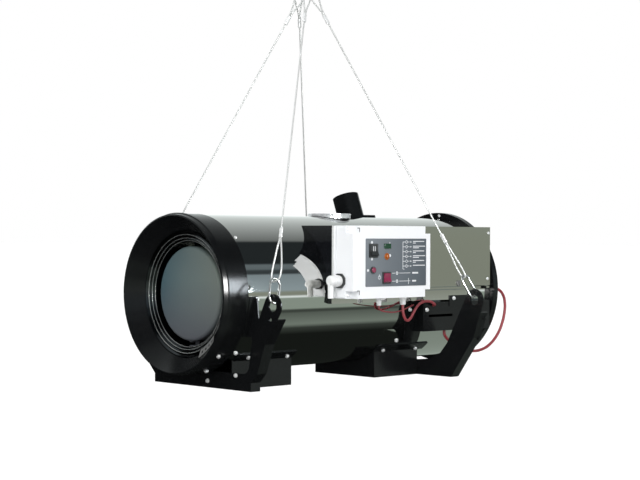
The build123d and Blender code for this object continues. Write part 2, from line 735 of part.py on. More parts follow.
def make_socket():
    face = BOX_START - SOCKET_WALL
    outline = RegularPolygon(SOCKET_ACROSS / 2, SOCKET_SIDES, rotation=180 / SOCKET_SIDES)
    save("socket_flange", across(Pos(SOCKET_Y, SOCKET_Z) * outline, face, BOX_START))
    tip = face - PLUG_LENGTH
    place = Pos(0, SOCKET_Y, SOCKET_Z)
    plug = place * fillet(rod_x(PLUG_R, tip, face).faces().sort_by(Axis.X)[0].edges(), PLUG_R / 2)
    for x in (face - PLUG_LENGTH / 4, face - PLUG_LENGTH / 2):
        plug += place * rod_x(PLUG_R + GROOVE / 2, x, x + GROOVE)
    neck = Cylinder(PLUG_NECK_R, SOCKET_Z - PLUG_NECK_BASE, align=LOW)
    neck = fillet(neck.faces().sort_by(Axis.Z)[0].edges(), GROOVE)
    plug += Pos(tip + PLUG_R / 2, SOCKET_Y, PLUG_NECK_BASE) * neck
    save("socket_plug", plug)


def make_glands():
    glands = []
    for x, radius in GLAND_PLACES:
        nut = extrude(RegularPolygon(radius, 6), GLAND_NUT)
        cap = Cylinder(radius - GROOVE, GLAND_LENGTH - GLAND_NUT, align=LOW)
        cap = fillet(cap.faces().sort_by(Axis.Z)[-1].edges(), radius / 3)
        gland = nut + Pos(0, 0, GLAND_NUT) * cap
        glands.append(Pos(x, GLAND_Y, BOX_BASE) * Rot(180, 0, 0) * gland)
    save("glands", Compound(children=glands))


def make_rear_ring():
    sleeve_r = CASING_R - CASING_WALL - FIT
    face = CASING_END + FIT
    line = ((RIM_SLEEVE_START, sleeve_r), (face, sleeve_r), (face, RIM_R), (RIM_END, RIM_R))
    save("rear_ring", spun(sheet_line(line, RIM_WALL, Side.RIGHT)))


def make_fan_guard():
    outer = RIM_R - RIM_WALL - FIT
    step = (outer - GUARD_PLATE_R) / GUARD_RINGS
    grille = Circle(GUARD_PLATE_R)
    for ring in range(1, GUARD_RINGS + 1):
        edge = GUARD_PLATE_R + step * ring
        grille += Circle(edge) - Circle(edge - GUARD_WIRE)
    for bar in range(GUARD_BARS):
        wire = Pos(outer / 2, 0) * Rectangle(outer - GUARD_WIRE, GUARD_WIRE)
        grille += Rot(0, 0, 360 * (bar + 0.5) / GUARD_BARS) * wire
    guard = across(grille, RIM_END - GUARD_DEPTH, RIM_END)
    guard += rod_x(GUARD_PLATE_R, RIM_END - GUARD_DEPTH - GUARD_PLATE, RIM_END)
    save("fan_guard", guard)


def make_fan():
    motor_end = RIM_END - GUARD_DEPTH - GUARD_PLATE
    motor = rod_x(MOTOR_R, MOTOR_START, motor_end)
    motor = fillet(motor.faces().sort_by(Axis.X)[0].edges(), GUARD_DEPTH)
    motor -= rod_x(SHAFT_R + SHAFT_FIT, MOTOR_START, motor_end - GUARD_PLATE)
    save("fan_motor", motor)
    save("fan_shaft", rod_x(SHAFT_R, HUB_START - GUARD_PLATE, motor_end - GUARD_PLATE - FIT))
    hub = rod_x(HUB_R, HUB_START, HUB_END)
    hub = fillet(hub.faces().sort_by(Axis.X)[0].edges(), HUB_R / 4)
    middle = (HUB_START + HUB_END) / 2
    root = Rot(0, 0, BLADE_ROOT_PITCH) * Rectangle(BLADE_ROOT, BLADE_WALL)
    root = Plane.XY.offset(HUB_R - BLADE_SINK) * root
    tip = Plane.XY.offset(BLADE_R) * Rot(0, 0, BLADE_TIP_PITCH) * Rectangle(BLADE_TIP, BLADE_WALL / 2)
    blade = Pos(middle, 0, 0) * loft([root, tip])
    for number in range(BLADE_COUNT):
        hub += Rot(360 * number / BLADE_COUNT, 0, 0) * blade
    hub -= rod_x(SHAFT_R, HUB_START, HUB_END)
    save("fan_impeller", hub)


def make_burner():
    burner = rod_x(BURNER_TUBE_R, CHAMBER_END - BURNER_TUBE, CHAMBER_END)
    burner += rod_x(BURNER_TUBE_R + 2 * BURNER_FLANGE, CHAMBER_END, CHAMBER_END + BURNER_FLANGE)
    body = rod_x(BURNER_R, CHAMBER_END + BURNER_FLANGE, BURNER_END)
    burner += fillet(body.edges().filter_by(GeomType.CIRCLE), 2 * BURNER_FLANGE)
    save("burner", burner)


def swept(path, radius):
    return sweep(Plane(origin=path @ 0, z_dir=path % 0) * Circle(radius), path=path)


def hook_path():
    half = HOOK_WIDTH / 2 - HOOK_R
    top = HOOK_LENGTH - 2 * HOOK_R
    path = Line((half, GATE_START), (half, half))
    path += ThreePointArc((half, half), (0, 0), (-half, half))
    path += Line((-half, half), (-half, top - half))
    path += ThreePointArc((-half, top - half), (0, top), (half, top - half))
    path += Line((half, top - half), (half, GATE_END))
    return path


def loop_path(bend, half, shoulder, length):
    # A rope eye that bends round the origin and closes at its ferrule.
    strand = ROPE_R + FIT / 2
    away = hypot(half, shoulder)
    lean = atan2(half, shoulder) - asin(bend / away)
    tip = -bend / sin(lean)
    ends = [(strand, length), (strand, length - 2 * ROPE_R), (half, shoulder)]
    points = ends + [(0, tip)] + [(-x, y) for x, y in reversed(ends)]
    return FilletPolyline(*points, radius=[half, 2 * half, bend, 2 * half, half])


def ferrule(place, start):
    return extrude(place.offset(start) * SlotOverall(FERRULE_WIDTH, FERRULE_DEPTH), FERRULE)


def make_rope_gear():
    ropes = (
        (FRONT_FRAME_X, -FRONT_EYE_Y, -ROPE_INNER_STEP, -1),
        (FRONT_FRAME_X, FRONT_EYE_Y, ROPE_INNER_STEP, -1),
        (REAR_FRAME_X, -REAR_EYE_Y, -ROPE_OUTER_STEP, 1),
        (REAR_FRAME_X, REAR_EYE_Y, ROPE_OUTER_STEP, 1),
    )
    hook_top = HOOK_LENGTH - 2 * HOOK_R
    lower_bend = HOOK_R + ROPE_R + FIT
    ferrules = []
    for number, (plate_x, eye_y, bar_y, out) in enumerate(ropes, 1):
        eye = Vector(plate_x + FRAME_WALL / 2, eye_y, EYE_Z + EYE_HOLE_R - HOOK_DROP)
        bar = Vector(HANG_X, bar_y, BAR_Z)
        up = (bar - eye).normalized()
        level = Vector(out, 0, 0)
        level = (level - up * level.dot(up)).normalized()
        side = level.cross(up)
        hook_plane = Plane(origin=eye, x_dir=level, z_dir=side)
        save(f"hook_body_{number}", swept(hook_plane * hook_path(), HOOK_R))
        half = HOOK_WIDTH / 2 - HOOK_R
        pivot = eye + level * half + up * (GATE_START + GATE_GAP + GATE_R)
        gate_length = GATE_END - GATE_START - 2 * GATE_GAP - GATE_R
        gate = Cylinder(GATE_R, gate_length, align=LOW) + Sphere(GATE_R)
        save(f"hook_gate_{number}", Plane(origin=pivot, x_dir=level, z_dir=up) * gate)
        top = eye + up * hook_top
        lower = Plane(origin=top, x_dir=side, z_dir=side.cross(up))
        loop = swept(lower * loop_path(lower_bend, LOOP_HALF, LOOP_SHOULDER, LOWER_LOOP), ROPE_R)
        flat = up.cross(Vector(0, 1, 0)).normalized()
        lean = acos(Vector(0, 1, 0).cross(flat).dot(up))
        upper_bend = LINK_R / cos(lean) + ROPE_R + FIT
        upper = Plane(origin=bar, x_dir=flat, z_dir=flat.cross(-up))
        upper_loop = swept(upper * loop_path(upper_bend, UPPER_LOOP_HALF, UPPER_SHOULDER, UPPER_LOOP), ROPE_R)
        save(f"rope_loops_{number}", Compound(children=[loop, upper_loop]))
        ferrules.append(ferrule(Plane(origin=top, x_dir=side, z_dir=up), LOWER_LOOP))
        ferrules.append(ferrule(Plane(origin=bar, x_dir=flat, z_dir=-up), UPPER_LOOP))
        start = top + up * (LOWER_LOOP + FERRULE)
        length = (bar - start).length - UPPER_LOOP - FERRULE
        save(f"rope_{number}", Plane(origin=start, z_dir=up) * Cylinder(ROPE_R, length, align=LOW))
    save("rope_ferrules", Compound(children=ferrules))


def make_master_link():
    half = LINK_INNER_WIDTH / 2 + LINK_R
    top = HANG_Z + LINK_R
    corner = LINK_CORNER + LINK_R
    line = FilletPolyline(
        (-half, BAR_Z), (half, BAR_Z), (half, top), (-half, top), radius=corner, close=True
    )
    save("master_link", swept(Plane.YZ.offset(HANG_X) * line, LINK_R))


def lead_path(points):
    # Straight runs joined by arcs that are as large as the shorter run beside them allows.
    radii = []
    for before, corner, after in zip(points, points[1:], points[2:]):
        run = Vector(*corner) - Vector(*before)
        following = Vector(*after) - Vector(*corner)
        half_turn = radians(run.get_angle(following)) / 2
        radii.append(LEAD_ARC * min(run.length, following.length) / tan(half_turn))
    return FilletPolyline(*points, radius=radii), radii


def make_leads():
    # Each point is given by x, by how far it stands out from the side cover, and by z.
    gland_base = BOX_BASE - GLAND_LENGTH
    gland_out = COVER_Y - GLAND_Y
    thick_x = GLAND_PLACES[1][0]
    lead_v = (
        (thick_x, gland_out, gland_base),
        (thick_x, gland_out, -52),
        (660, 38, -68),
        (671, 36, -83),
        (686, 32, -87),
        (704, 28, -79),
        (720, 24, -63),
        (738, 20, -47),
        (762, 15, -35),
        (790, 12, -31),
        (814, 11, -34),
        (828, 11, -41),
        (834, 8, -45),
        (834, 0, -45),
    )
    thin_x = GLAND_PLACES[0][0]
    lead_thin = (
        (thin_x, gland_out, gland_base),
        (thin_x, gland_out, -44),
        (562, 37, -52),
        (583, 31, -56),
        (633, 21, -61),
        (678, 11, -58),
        (715, 5, -49),
        (742, 1, -43),
        (752, -6, -42),
        (753, -14, -42),
    )
    lead_loop = (
        (CASING_END + FIT + RIM_WALL, -7, 0),
        (1146, -7, 0),
        (1170, -7, -10),
        (1186, -7, -30),
        (1191, -7, -58),
        (1184, -7, -95),
        (1166, -7, -133),
        (1137, -7, -165),
        (1098, -7, -188),
        (1056, -7, -197),
        (1012, -7, -195),
        (970, -9, -184),
        (936, -12, -167),
        (912, -14, -150),
        (903, -15, -138),
        (903, -15, HOUSING_BASE),
    )
    leads = {
        "lead_v": (LEAD_V_R, lead_v),
        "lead_thin": (LEAD_THIN_R, lead_thin),
        "lead_loop": (LEAD_LOOP_R, lead_loop),
    }
    for name, (radius, route) in leads.items():
        path, radii = lead_path([(x, COVER_Y - out, z) for x, out, z in route])
        print(name, "bend radii", [round(bend) for bend in radii])
        save(name, swept(path, radius))


make_casing()
make_front_cowl()
make_outlet_rings()
make_chamber()
make_chamber_supports()
make_flue()
make_air_intake()
make_front_frame()
make_rear_frame()
make_saddle_boxes()
make_box_strap()
make_lower_box()
make_side_cover()
make_control_box()
make_switch("main_rocker", MAIN_X, MAIN_Z, MAIN_WIDTH, MAIN_HEIGHT)
make_switch("select_rocker", SELECT_X, SELECT_Z, SELECT_WIDTH, SELECT_HEIGHT)
make_lamps()
make_reset_button()
make_socket()
make_glands()
make_rear_ring()
make_fan_guard()
make_fan()
make_burner()
make_rope_gear()
make_master_link()
make_leads()
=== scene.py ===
import json
import math
import random

import bmesh
import bpy
from mathutils import Matrix, Vector


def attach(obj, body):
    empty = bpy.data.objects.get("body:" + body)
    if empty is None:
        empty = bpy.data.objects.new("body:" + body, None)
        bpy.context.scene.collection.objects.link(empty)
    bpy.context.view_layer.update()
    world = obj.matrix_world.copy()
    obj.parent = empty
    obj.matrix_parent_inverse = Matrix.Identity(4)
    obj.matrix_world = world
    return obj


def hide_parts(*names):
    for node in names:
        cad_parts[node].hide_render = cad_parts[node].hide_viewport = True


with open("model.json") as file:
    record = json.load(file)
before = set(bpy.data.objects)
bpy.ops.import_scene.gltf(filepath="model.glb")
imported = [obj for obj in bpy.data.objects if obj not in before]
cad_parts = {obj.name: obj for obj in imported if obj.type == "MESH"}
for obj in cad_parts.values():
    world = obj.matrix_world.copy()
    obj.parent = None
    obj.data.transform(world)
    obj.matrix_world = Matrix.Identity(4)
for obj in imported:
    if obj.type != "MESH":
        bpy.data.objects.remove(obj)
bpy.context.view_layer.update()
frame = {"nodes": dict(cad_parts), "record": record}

# Sizes in millimetres, measured from the casing's axis and front lip as in the part's source
HANG_X = 512.0
HANG_Z = 1031.5
MM = 0.001
CASING_R = 225.0
COVER_Y = -239.0
BOX_FRONT = -318.0
LABEL_FRONT = -318.8
FLOOR_Z = -2300.0
SEED = 7

# Directions from the outlet to the fan, and from the control box to the casing
BACKWARD = Vector((1, 0, 0))
INWARD = Vector((0, 1, 0))

# Camera, fitted to the photograph
CAMERA_AT = (-2767.6, -3461.6, 166.5)
CAMERA_YAW = 45.954
CAMERA_PITCH = -0.157
CAMERA_ROLL = 0.254
CAMERA_LENS = 88.22
CAMERA_SENSOR = 36.0

# What polished metal sees around it, from the ceiling down to the ground on the -Y side. Each band
# has the angle above the level at its two edges, its brightness at them, and its tint.
COOL = (0.82, 1.0, 1.08)
PLAIN = (0.93, 1.0, 0.99)
WARM = (0.92, 1.0, 0.82)
GREEN = (0.84, 1.0, 0.86)
SKY_BANDS = (
    (180, 85, 1.15, 0.24, PLAIN),
    (81, 45, 0.03, 0.03, COOL),
    (42, 36, 0.22, 0.20, COOL),
    (34, 29, 0.08, 0.06, COOL),
    (27, 4, 0.36, 0.46, COOL),
    (1, -4, 0.35, 0.33, WARM),
    (-4.8, -6.4, 1.2, 1.2, PLAIN),
    (-8, -24, 0.42, 0.42, GREEN),
    (-26, -29, 0.08, 0.08, GREEN),
    (-31, -49, 0.16, 0.29, GREEN),
    (-55, -58, 0.06, 0.05, GREEN),
    (-66, -180, 0.014, 0.014, GREEN),
)

# The even light that everything but metal and glass gets
DIFFUSE_LEVEL = 0.55


def at(x, y, z):
    # A place in the scene from a place on the heater.
    return Vector(((x - HANG_X) * MM, y * MM, (z - HANG_Z) * MM))


def outward(elevation, side=-1):
    # The direction away from the casing's axis, on the -Y side or the +Y side.
    turn = math.radians(elevation)
    return Vector((0, side * math.cos(turn), math.sin(turn)))


def make_camera():
    yaw, pitch, roll = (math.radians(a) for a in (CAMERA_YAW, CAMERA_PITCH, CAMERA_ROLL))
    forward = Vector((math.cos(yaw) * math.cos(pitch), math.sin(yaw) * math.cos(pitch), math.sin(pitch)))
    level = Vector((math.sin(yaw), -math.cos(yaw), 0))
    up = level.cross(forward)
    right = math.cos(roll) * level + math.sin(roll) * up
    top = -math.sin(roll) * level + math.cos(roll) * up
    data = bpy.data.cameras.new("camera")
    data.lens = CAMERA_LENS
    data.sensor_width = CAMERA_SENSOR
    camera = bpy.data.objects.new("camera", data)
    bpy.context.scene.collection.objects.link(camera)
    turn = Matrix((right, top, -forward)).transposed().to_4x4()
    camera.matrix_world = Matrix.Translation(at(*CAMERA_AT)) @ turn
    bpy.context.scene.camera = camera


# Materials

# Patterns of the plain finishes
WIDE_DETAIL = 4.0
FINE_DETAIL = 2.0
FINE_SCALE = 6
RELIEF_STRENGTH = 0.4

# Rolling waves and polishing marks of the mirror steel: scale, detail and stretch
WAVES = (5.0, 1.0, (0.35, 1, 1))
MARKS = (60.0, 3.0, (0.08, 1, 1))
MARK_SHARE = 0.012
MIRROR_COLOURS = ((0.60, 0.60, 0.58), (0.64, 0.64, 0.62))
MIRROR_ROUGH = (0.015, 0.06)
MIRROR_RELIEF = (0.5, 0.0004)
# Painted reflection on the side cover: its colour, and how far a face must turn towards -X to get it
DARK_REFLECTION_COLOUR = (0.006, 0.0065, 0.008)
DARK_REFLECTION_FACING = -0.9

# Outlet rings
GROOVE_SCALE = 260.0
GROOVE_WOBBLE = 1.5
SPUN_SCALE = 25.0
SPUN_COLOURS = ((0.045, 0.05, 0.055), (0.085, 0.09, 0.095))
SPUN_ROUGH = (0.10, 0.2)
SPUN_RELIEF = (0.15, 0.00004)

# Chamber's closed end: the colours change across it and below its upper part, a painted reflection
HEAT_GRAIN = 220.0
HEAT_CLOUD = 6.0
HEAT_CLOUD_SHARE = (-0.15, 0.15)
CHAMBER_REFLECTION_ACROSS = (0.13, -0.12)
CHAMBER_REFLECTION_LOW = -(HANG_Z + 130) * MM
CHAMBER_REFLECTION_HIGH = -(HANG_Z - 40) * MM
CHAMBER_UPPER_REFLECTION = ((0.055, 0.105, 0.125), (0.165, 0.195, 0.175))
CHAMBER_LOWER_REFLECTION = (0.085, 0.092, 0.105)
HEAT_ROUGH = (0.42, 0.55)
HEAT_METALLIC = 0.1
HEAT_RELIEF = (0.3, 0.00002)

# Film of the control plate
FILM_START = 455.0
FILM_END = 713.0
FILM_GRAIN = 300.0
FILM_GRAIN_SHARE = (-0.06, 0.06)
FILM_COLOURS = ((0.125, 0.145, 0.165), (0.062, 0.078, 0.095))
FILM_ROUGH = (0.38, 0.48)
FILM_RELIEF = (0.15, 0.00001)

# Woven sleeve of the leads
SLEEVE_SLANT = 45
SLEEVE_PITCH = 260.0
SLEEVE_COLOURS = ((0.22, 0.02, 0.028), (0.46, 0.07, 0.085))
SLEEVE_ROUGH = 0.5
SLEEVE_RELIEF = (0.5, 0.0003)

# Plain finishes: darker and paler colour, roughness from and to, metallic, scale of the pattern, then
# for some the depth of the relief in metres and the specular level
FINISHES = {
    "black_paint": (
        (0.0035, 0.004, 0.0045), (0.006, 0.0065, 0.007), (0.17, 0.24), 0.0, 45.0, 0.00003, 0.28,
    ),
    "white_plastic": ((0.83, 0.85, 0.88), (0.87, 0.885, 0.90), (0.34, 0.44), 0.0, 30.0, 0.00002),
    "red_plastic": ((0.20, 0.02, 0.055), (0.27, 0.03, 0.08), (0.2, 0.3), 0.0, 90.0),
    "black_plastic": ((0.010, 0.012, 0.012), (0.018, 0.020, 0.020), (0.3, 0.45), 0.0, 80.0, 0.00002),
    "orange_lens": ((0.32, 0.085, 0.012), (0.40, 0.11, 0.02), (0.1, 0.2), 0.0, 60.0),
    "green_lens": ((0.006, 0.035, 0.017), (0.012, 0.065, 0.03), (0.1, 0.2), 0.0, 60.0),
    "light_plastic": ((0.70, 0.71, 0.71), (0.78, 0.79, 0.79), (0.35, 0.5), 0.0, 60.0),
    "fan_metal": ((0.42, 0.43, 0.44), (0.52, 0.53, 0.54), (0.35, 0.5), 0.8, 30.0),
    "burner_metal": ((0.08, 0.08, 0.09), (0.12, 0.12, 0.13), (0.5, 0.6), 0.3, 30.0),
    "zinc": ((0.74, 0.75, 0.75), (0.86, 0.87, 0.87), (0.26, 0.42), 0.45, 90.0),
    "wire_rope": ((0.60, 0.61, 0.60), (0.84, 0.85, 0.84), (0.3, 0.42), 0.35, 300.0),
    "ferrule_metal": ((0.80, 0.81, 0.81), (0.90, 0.91, 0.91), (0.3, 0.42), 0.3, 120.0, 0.0001),
    "hook_steel": ((0.56, 0.57, 0.56), (0.70, 0.71, 0.70), (0.18, 0.3), 0.9, 60.0),
    "dull_steel": ((0.10, 0.10, 0.10), (0.34, 0.34, 0.33), (0.3, 0.45), 0.4, 260.0),
    "bright_steel": ((0.80, 0.82, 0.84), (0.90, 0.91, 0.93), (0.12, 0.2), 0.55, 60.0),
    # Pale print, also used for the painted highlights on the selector's rocker
    "print_and_highlight_white": ((0.66, 0.68, 0.70), (0.74, 0.76, 0.78), (0.45, 0.55), 0.0, 80.0),
}

# Nodes that look different from the slot their record gives
HOOKS = 4
NODE_FINISHES = {
    "flue_collar": "bright_steel",
    "side_cover": "cover_steel_painted_reflection",
    "cover_lock": "dull_steel",
}


def new_material(name):
    material = bpy.data.materials.new(name)
    material.use_nodes = True
    nodes = material.node_tree.nodes
    return material, nodes, material.node_tree.links, nodes["Principled BSDF"]


def noise(nodes, links, scale, detail=3.0, stretch=(1, 1, 1)):
    place = nodes.new("ShaderNodeTexCoord")
    mapping = nodes.new("ShaderNodeMapping")
    mapping.inputs["Scale"].default_value = stretch
    texture = nodes.new("ShaderNodeTexNoise")
    texture.inputs["Scale"].default_value = scale
    texture.inputs["Detail"].default_value = detail
    links.new(place.outputs["Object"], mapping.inputs["Vector"])
    links.new(mapping.outputs["Vector"], texture.inputs["Vector"])
    return texture.outputs["Fac"]


def blend(nodes, links, factor, first, second):
    # A mix of two colours; each is a socket or three numbers.
    mix = nodes.new("ShaderNodeMix")
    mix.data_type = "RGBA"
    for name, colour in (("A", first), ("B", second)):
        if isinstance(colour, tuple):
            mix.inputs[name].default_value = (*colour, 1)
        else:
            links.new(colour, mix.inputs[name])
    links.new(factor, mix.inputs["Factor"])
    return mix.outputs["Result"]


def spread(nodes, links, factor, low, high, start=0.0, end=1.0):
    span = nodes.new("ShaderNodeMapRange")
    span.inputs["From Min"].default_value = start
    span.inputs["From Max"].default_value = end
    span.inputs["To Min"].default_value = low
    span.inputs["To Max"].default_value = high
    links.new(factor, span.inputs["Value"])
    return span.outputs["Result"]


def arithmetic(nodes, links, operation, first, second):
    # A Math node; each input is a socket or a number.
    node = nodes.new("ShaderNodeMath")
    node.operation = operation
    for place, value in enumerate((first, second)):
        if isinstance(value, (int, float)):
            node.inputs[place].default_value = value
        else:
            links.new(value, node.inputs[place])
    return node.outputs[0]


def axes(nodes, links, output):
    # The three parts of a texture coordinate.
    place = nodes.new("ShaderNodeTexCoord")
    split = nodes.new("ShaderNodeSeparateXYZ")
    links.new(place.outputs[output], split.inputs["Vector"])
    return split.outputs


def bump(nodes, links, height, strength, distance, shader):
    lift = nodes.new("ShaderNodeBump")
    lift.inputs["Strength"].default_value = strength
    lift.inputs["Distance"].default_value = distance
    links.new(height, lift.inputs["Height"])
    links.new(lift.outputs["Normal"], shader.inputs["Normal"])


def surface(name, low, high, rough, metallic, scale, lift=0.0, gloss=0.5):
    # A surface whose colour and roughness vary a little, with a fine relief.
    material, nodes, links, shader = new_material(name)
    wide = noise(nodes, links, scale, WIDE_DETAIL)
    fine = noise(nodes, links, scale * FINE_SCALE, FINE_DETAIL)
    links.new(blend(nodes, links, wide, low, high), shader.inputs["Base Color"])
    links.new(spread(nodes, links, fine, *rough), shader.inputs["Roughness"])
    shader.inputs["Metallic"].default_value = metallic
    shader.inputs["Specular IOR Level"].default_value = gloss
    if lift:
        bump(nodes, links, fine, RELIEF_STRENGTH, lift, shader)
    return material


def mirror_steel(name, dark_reflection_end=False):
    # Polished stainless sheet: faint long waves from rolling, fine polishing marks.
    material, nodes, links, shader = new_material(name)
    shader.inputs["Metallic"].default_value = 1.0
    waves = noise(nodes, links, *WAVES)
    marks = noise(nodes, links, *MARKS)
    colour = blend(nodes, links, waves, *MIRROR_COLOURS)
    if dark_reflection_end:
        # Painted reflection: the mirror-steel wall that faces the outlet end is drawn black, standing in
        # for the dark it reflects
        facing = axes(nodes, links, "Normal")["X"]
        steel = arithmetic(nodes, links, "GREATER_THAN", facing, DARK_REFLECTION_FACING)
        colour = blend(nodes, links, steel, DARK_REFLECTION_COLOUR, colour)
        links.new(steel, shader.inputs["Metallic"])
    links.new(colour, shader.inputs["Base Color"])
    links.new(spread(nodes, links, marks, *MIRROR_ROUGH), shader.inputs["Roughness"])
    fine = arithmetic(nodes, links, "MULTIPLY", marks, MARK_SHARE)
    height = arithmetic(nodes, links, "ADD", waves, fine)
    bump(nodes, links, height, *MIRROR_RELIEF, shader)
    return material


def spun_steel():
    # Turned rings, very dark, with fine grooves round the casing's axis.
    material, nodes, links, shader = new_material("spun_steel")
    shader.inputs["Metallic"].default_value = 1.0
    place = nodes.new("ShaderNodeTexCoord")
    mapping = nodes.new("ShaderNodeMapping")
    mapping.inputs["Location"].default_value = (0, 0, HANG_Z * MM)
    grooves = nodes.new("ShaderNodeTexWave")
    grooves.wave_type = "RINGS"
    grooves.rings_direction = "X"
    grooves.inputs["Scale"].default_value = GROOVE_SCALE
    grooves.inputs["Distortion"].default_value = GROOVE_WOBBLE
    links.new(place.outputs["Object"], mapping.inputs["Vector"])
    links.new(mapping.outputs["Vector"], grooves.inputs["Vector"])
    tone = noise(nodes, links, SPUN_SCALE)
    links.new(blend(nodes, links, tone, *SPUN_COLOURS), shader.inputs["Base Color"])
    links.new(spread(nodes, links, grooves.outputs["Fac"], *SPUN_ROUGH), shader.inputs["Roughness"])
    bump(nodes, links, grooves.outputs["Fac"], *SPUN_RELIEF, shader)
    return material


def heat_steel():
    # The chamber's closed end: a painted reflection makes it paler and greener towards the -Y side and
    # darker in its lower part; wide random patches vary it.
    material, nodes, links, shader = new_material("heat_steel")
    grain = noise(nodes, links, HEAT_GRAIN, FINE_DETAIL)
    place = axes(nodes, links, "Object")
    cloud = spread(nodes, links, noise(nodes, links, HEAT_CLOUD, FINE_DETAIL), *HEAT_CLOUD_SHARE)
    across = spread(nodes, links, place["Y"], 0.0, 1.0, *CHAMBER_REFLECTION_ACROSS)
    across = arithmetic(nodes, links, "ADD", across, cloud)
    height = spread(nodes, links, place["Z"], 1.0, 0.0, CHAMBER_REFLECTION_LOW, CHAMBER_REFLECTION_HIGH)
    upper = blend(nodes, links, across, *CHAMBER_UPPER_REFLECTION)
    links.new(blend(nodes, links, height, upper, CHAMBER_LOWER_REFLECTION), shader.inputs["Base Color"])
    links.new(spread(nodes, links, grain, *HEAT_ROUGH), shader.inputs["Roughness"])
    shader.inputs["Metallic"].default_value = HEAT_METALLIC
    bump(nodes, links, grain, *HEAT_RELIEF, shader)
    return material


def label_film():
    # Printed film, paler towards its left edge.
    material, nodes, links, shader = new_material("label_film")
    start = at(FILM_START, 0, 0).x
    end = at(FILM_END, 0, 0).x
    across = spread(nodes, links, axes(nodes, links, "Object")["X"], 0.0, 1.0, start, end)
    grain = noise(nodes, links, FILM_GRAIN, FINE_DETAIL)
    speckle = spread(nodes, links, grain, *FILM_GRAIN_SHARE)
    mixed = arithmetic(nodes, links, "ADD", across, speckle)
    links.new(blend(nodes, links, mixed, *FILM_COLOURS), shader.inputs["Base Color"])
    links.new(spread(nodes, links, grain, *FILM_ROUGH), shader.inputs["Roughness"])
    bump(nodes, links, grain, *FILM_RELIEF, shader)
    return material


def red_lead():
    # A woven sleeve: two crossing waves.
    material, nodes, links, shader = new_material("red_lead")
    place = nodes.new("ShaderNodeTexCoord")
    heights = []
    for slant in (SLEEVE_SLANT, -SLEEVE_SLANT):
        mapping = nodes.new("ShaderNodeMapping")
        mapping.inputs["Rotation"].default_value = (0, math.radians(slant), 0)
        wave = nodes.new("ShaderNodeTexWave")
        wave.bands_direction = "X"
        wave.inputs["Scale"].default_value = SLEEVE_PITCH
        links.new(place.outputs["Object"], mapping.inputs["Vector"])
        links.new(mapping.outputs["Vector"], wave.inputs["Vector"])
        heights.append(wave.outputs["Fac"])
    weave = arithmetic(nodes, links, "MULTIPLY", *heights)
    links.new(blend(nodes, links, weave, *SLEEVE_COLOURS), shader.inputs["Base Color"])
    shader.inputs["Roughness"].default_value = SLEEVE_ROUGH
    bump(nodes, links, weave, *SLEEVE_RELIEF, shader)
    return material


def make_materials():
    made = {
        "mirror_steel": mirror_steel("mirror_steel"),
        "cover_steel_painted_reflection": mirror_steel("cover_steel_painted_reflection", True),
        "spun_steel": spun_steel(),
        "heat_steel": heat_steel(),
        "label_film": label_film(),
        "red_lead": red_lead(),
    }
    for name, values in FINISHES.items():
        made[name] = surface(name, *values)
    return made


materials = make_materials()


def dress_nodes():
    slots = {part["node"]: part["material_slot"] for part in frame["record"]["subparts"]}
    slots.update(NODE_FINISHES)
    for number in range(1, HOOKS + 1):
        slots[f"hook_body_{number}"] = "hook_steel"
        slots[f"hook_gate_{number}"] = "hook_steel"
    for name, node in frame["nodes"].items():
        for place in node.material_slots:
            place.material = materials[slots[name]]


def piece(name, mesh, slot, body="heater", finish=None, smooth=False):
    # A new part of the heater, from a bmesh, that rides on a body.
    data = bpy.data.meshes.new(name)
    bmesh.ops.recalc_face_normals(mesh, faces=mesh.faces)
    mesh.to_mesh(data)
    mesh.free()
    data.materials.append(materials[finish or slot])
    if smooth:
        data.shade_smooth()
    made = bpy.data.objects.new(name, data)
    bpy.context.scene.collection.objects.link(made)
    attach(made, body)
    return made


# Forms


def add_block(mesh, x, y, z):
    # A box between three pairs of limits on the heater.
    low = at(x[0], y[0], z[0])
    high = at(x[1], y[1], z[1])
    place = Matrix.Translation((low + high) / 2) @ Matrix.Diagonal((*(high - low), 1))
    bmesh.ops.create_cube(mesh, size=1.0, matrix=place)


def add_ring_faces(mesh, rings):
    # Faces between each ring of points and the next.
    for low, high in zip(rings, rings[1:]):
        for number in range(len(low)):
            after = (number + 1) % len(low)
            mesh.faces.new((low[number], low[after], high[after], high[number]))


def add_closed_form(mesh, rings):
    # A solid from rings of points, closed at both ends.
    add_ring_faces(mesh, rings)
    mesh.faces.new(reversed(rings[0]))
    mesh.faces.new(rings[-1])


def add_turned(mesh, profile, base, normal, sides, phase=0.0):
    # A turned solid on a base: the profile is a list of (radius, height) in millimetres.
    turn = normal.to_track_quat("Z", "Y").to_matrix().to_4x4()
    place = Matrix.Translation(base) @ turn
    rings = []
    for radius, height in profile:
        ring = []
        for number in range(sides):
            angle = 2 * math.pi * (number + phase) / sides
            point = Vector((math.cos(angle) * radius * MM, math.sin(angle) * radius * MM, height * MM))
            ring.append(mesh.verts.new(place @ point))
        rings.append(ring)
    add_closed_form(mesh, rings)


# Bolts and screws

# Profiles of (radius, height)
WASHER = ((6.4, 0.0), (6.4, 0.9), (6.0, 1.2), (4.0, 1.2))
HEX = ((5.2, 1.0), (5.2, 4.2), (4.4, 5.0))
DOME = ((5.0, 0.0), (5.0, 0.9), (4.4, 2.1), (3.2, 2.9), (1.6, 3.3), (0.2, 3.4))
WASHER_SIDES = 24
HEX_SIDES = 6
DOME_SIDES = 20
HEAD_SINK = 0.2
SCREW_START = 30.0

# What the heads sit on
CARRIERS = (
    "casing", "front_cowl", "front_frame", "front_foot", "mid_box", "rear_frame", "box_strap", "lower_box",
    "side_cover", "air_intake", "control_lid", "control_base", "rear_ring", "glands",
)

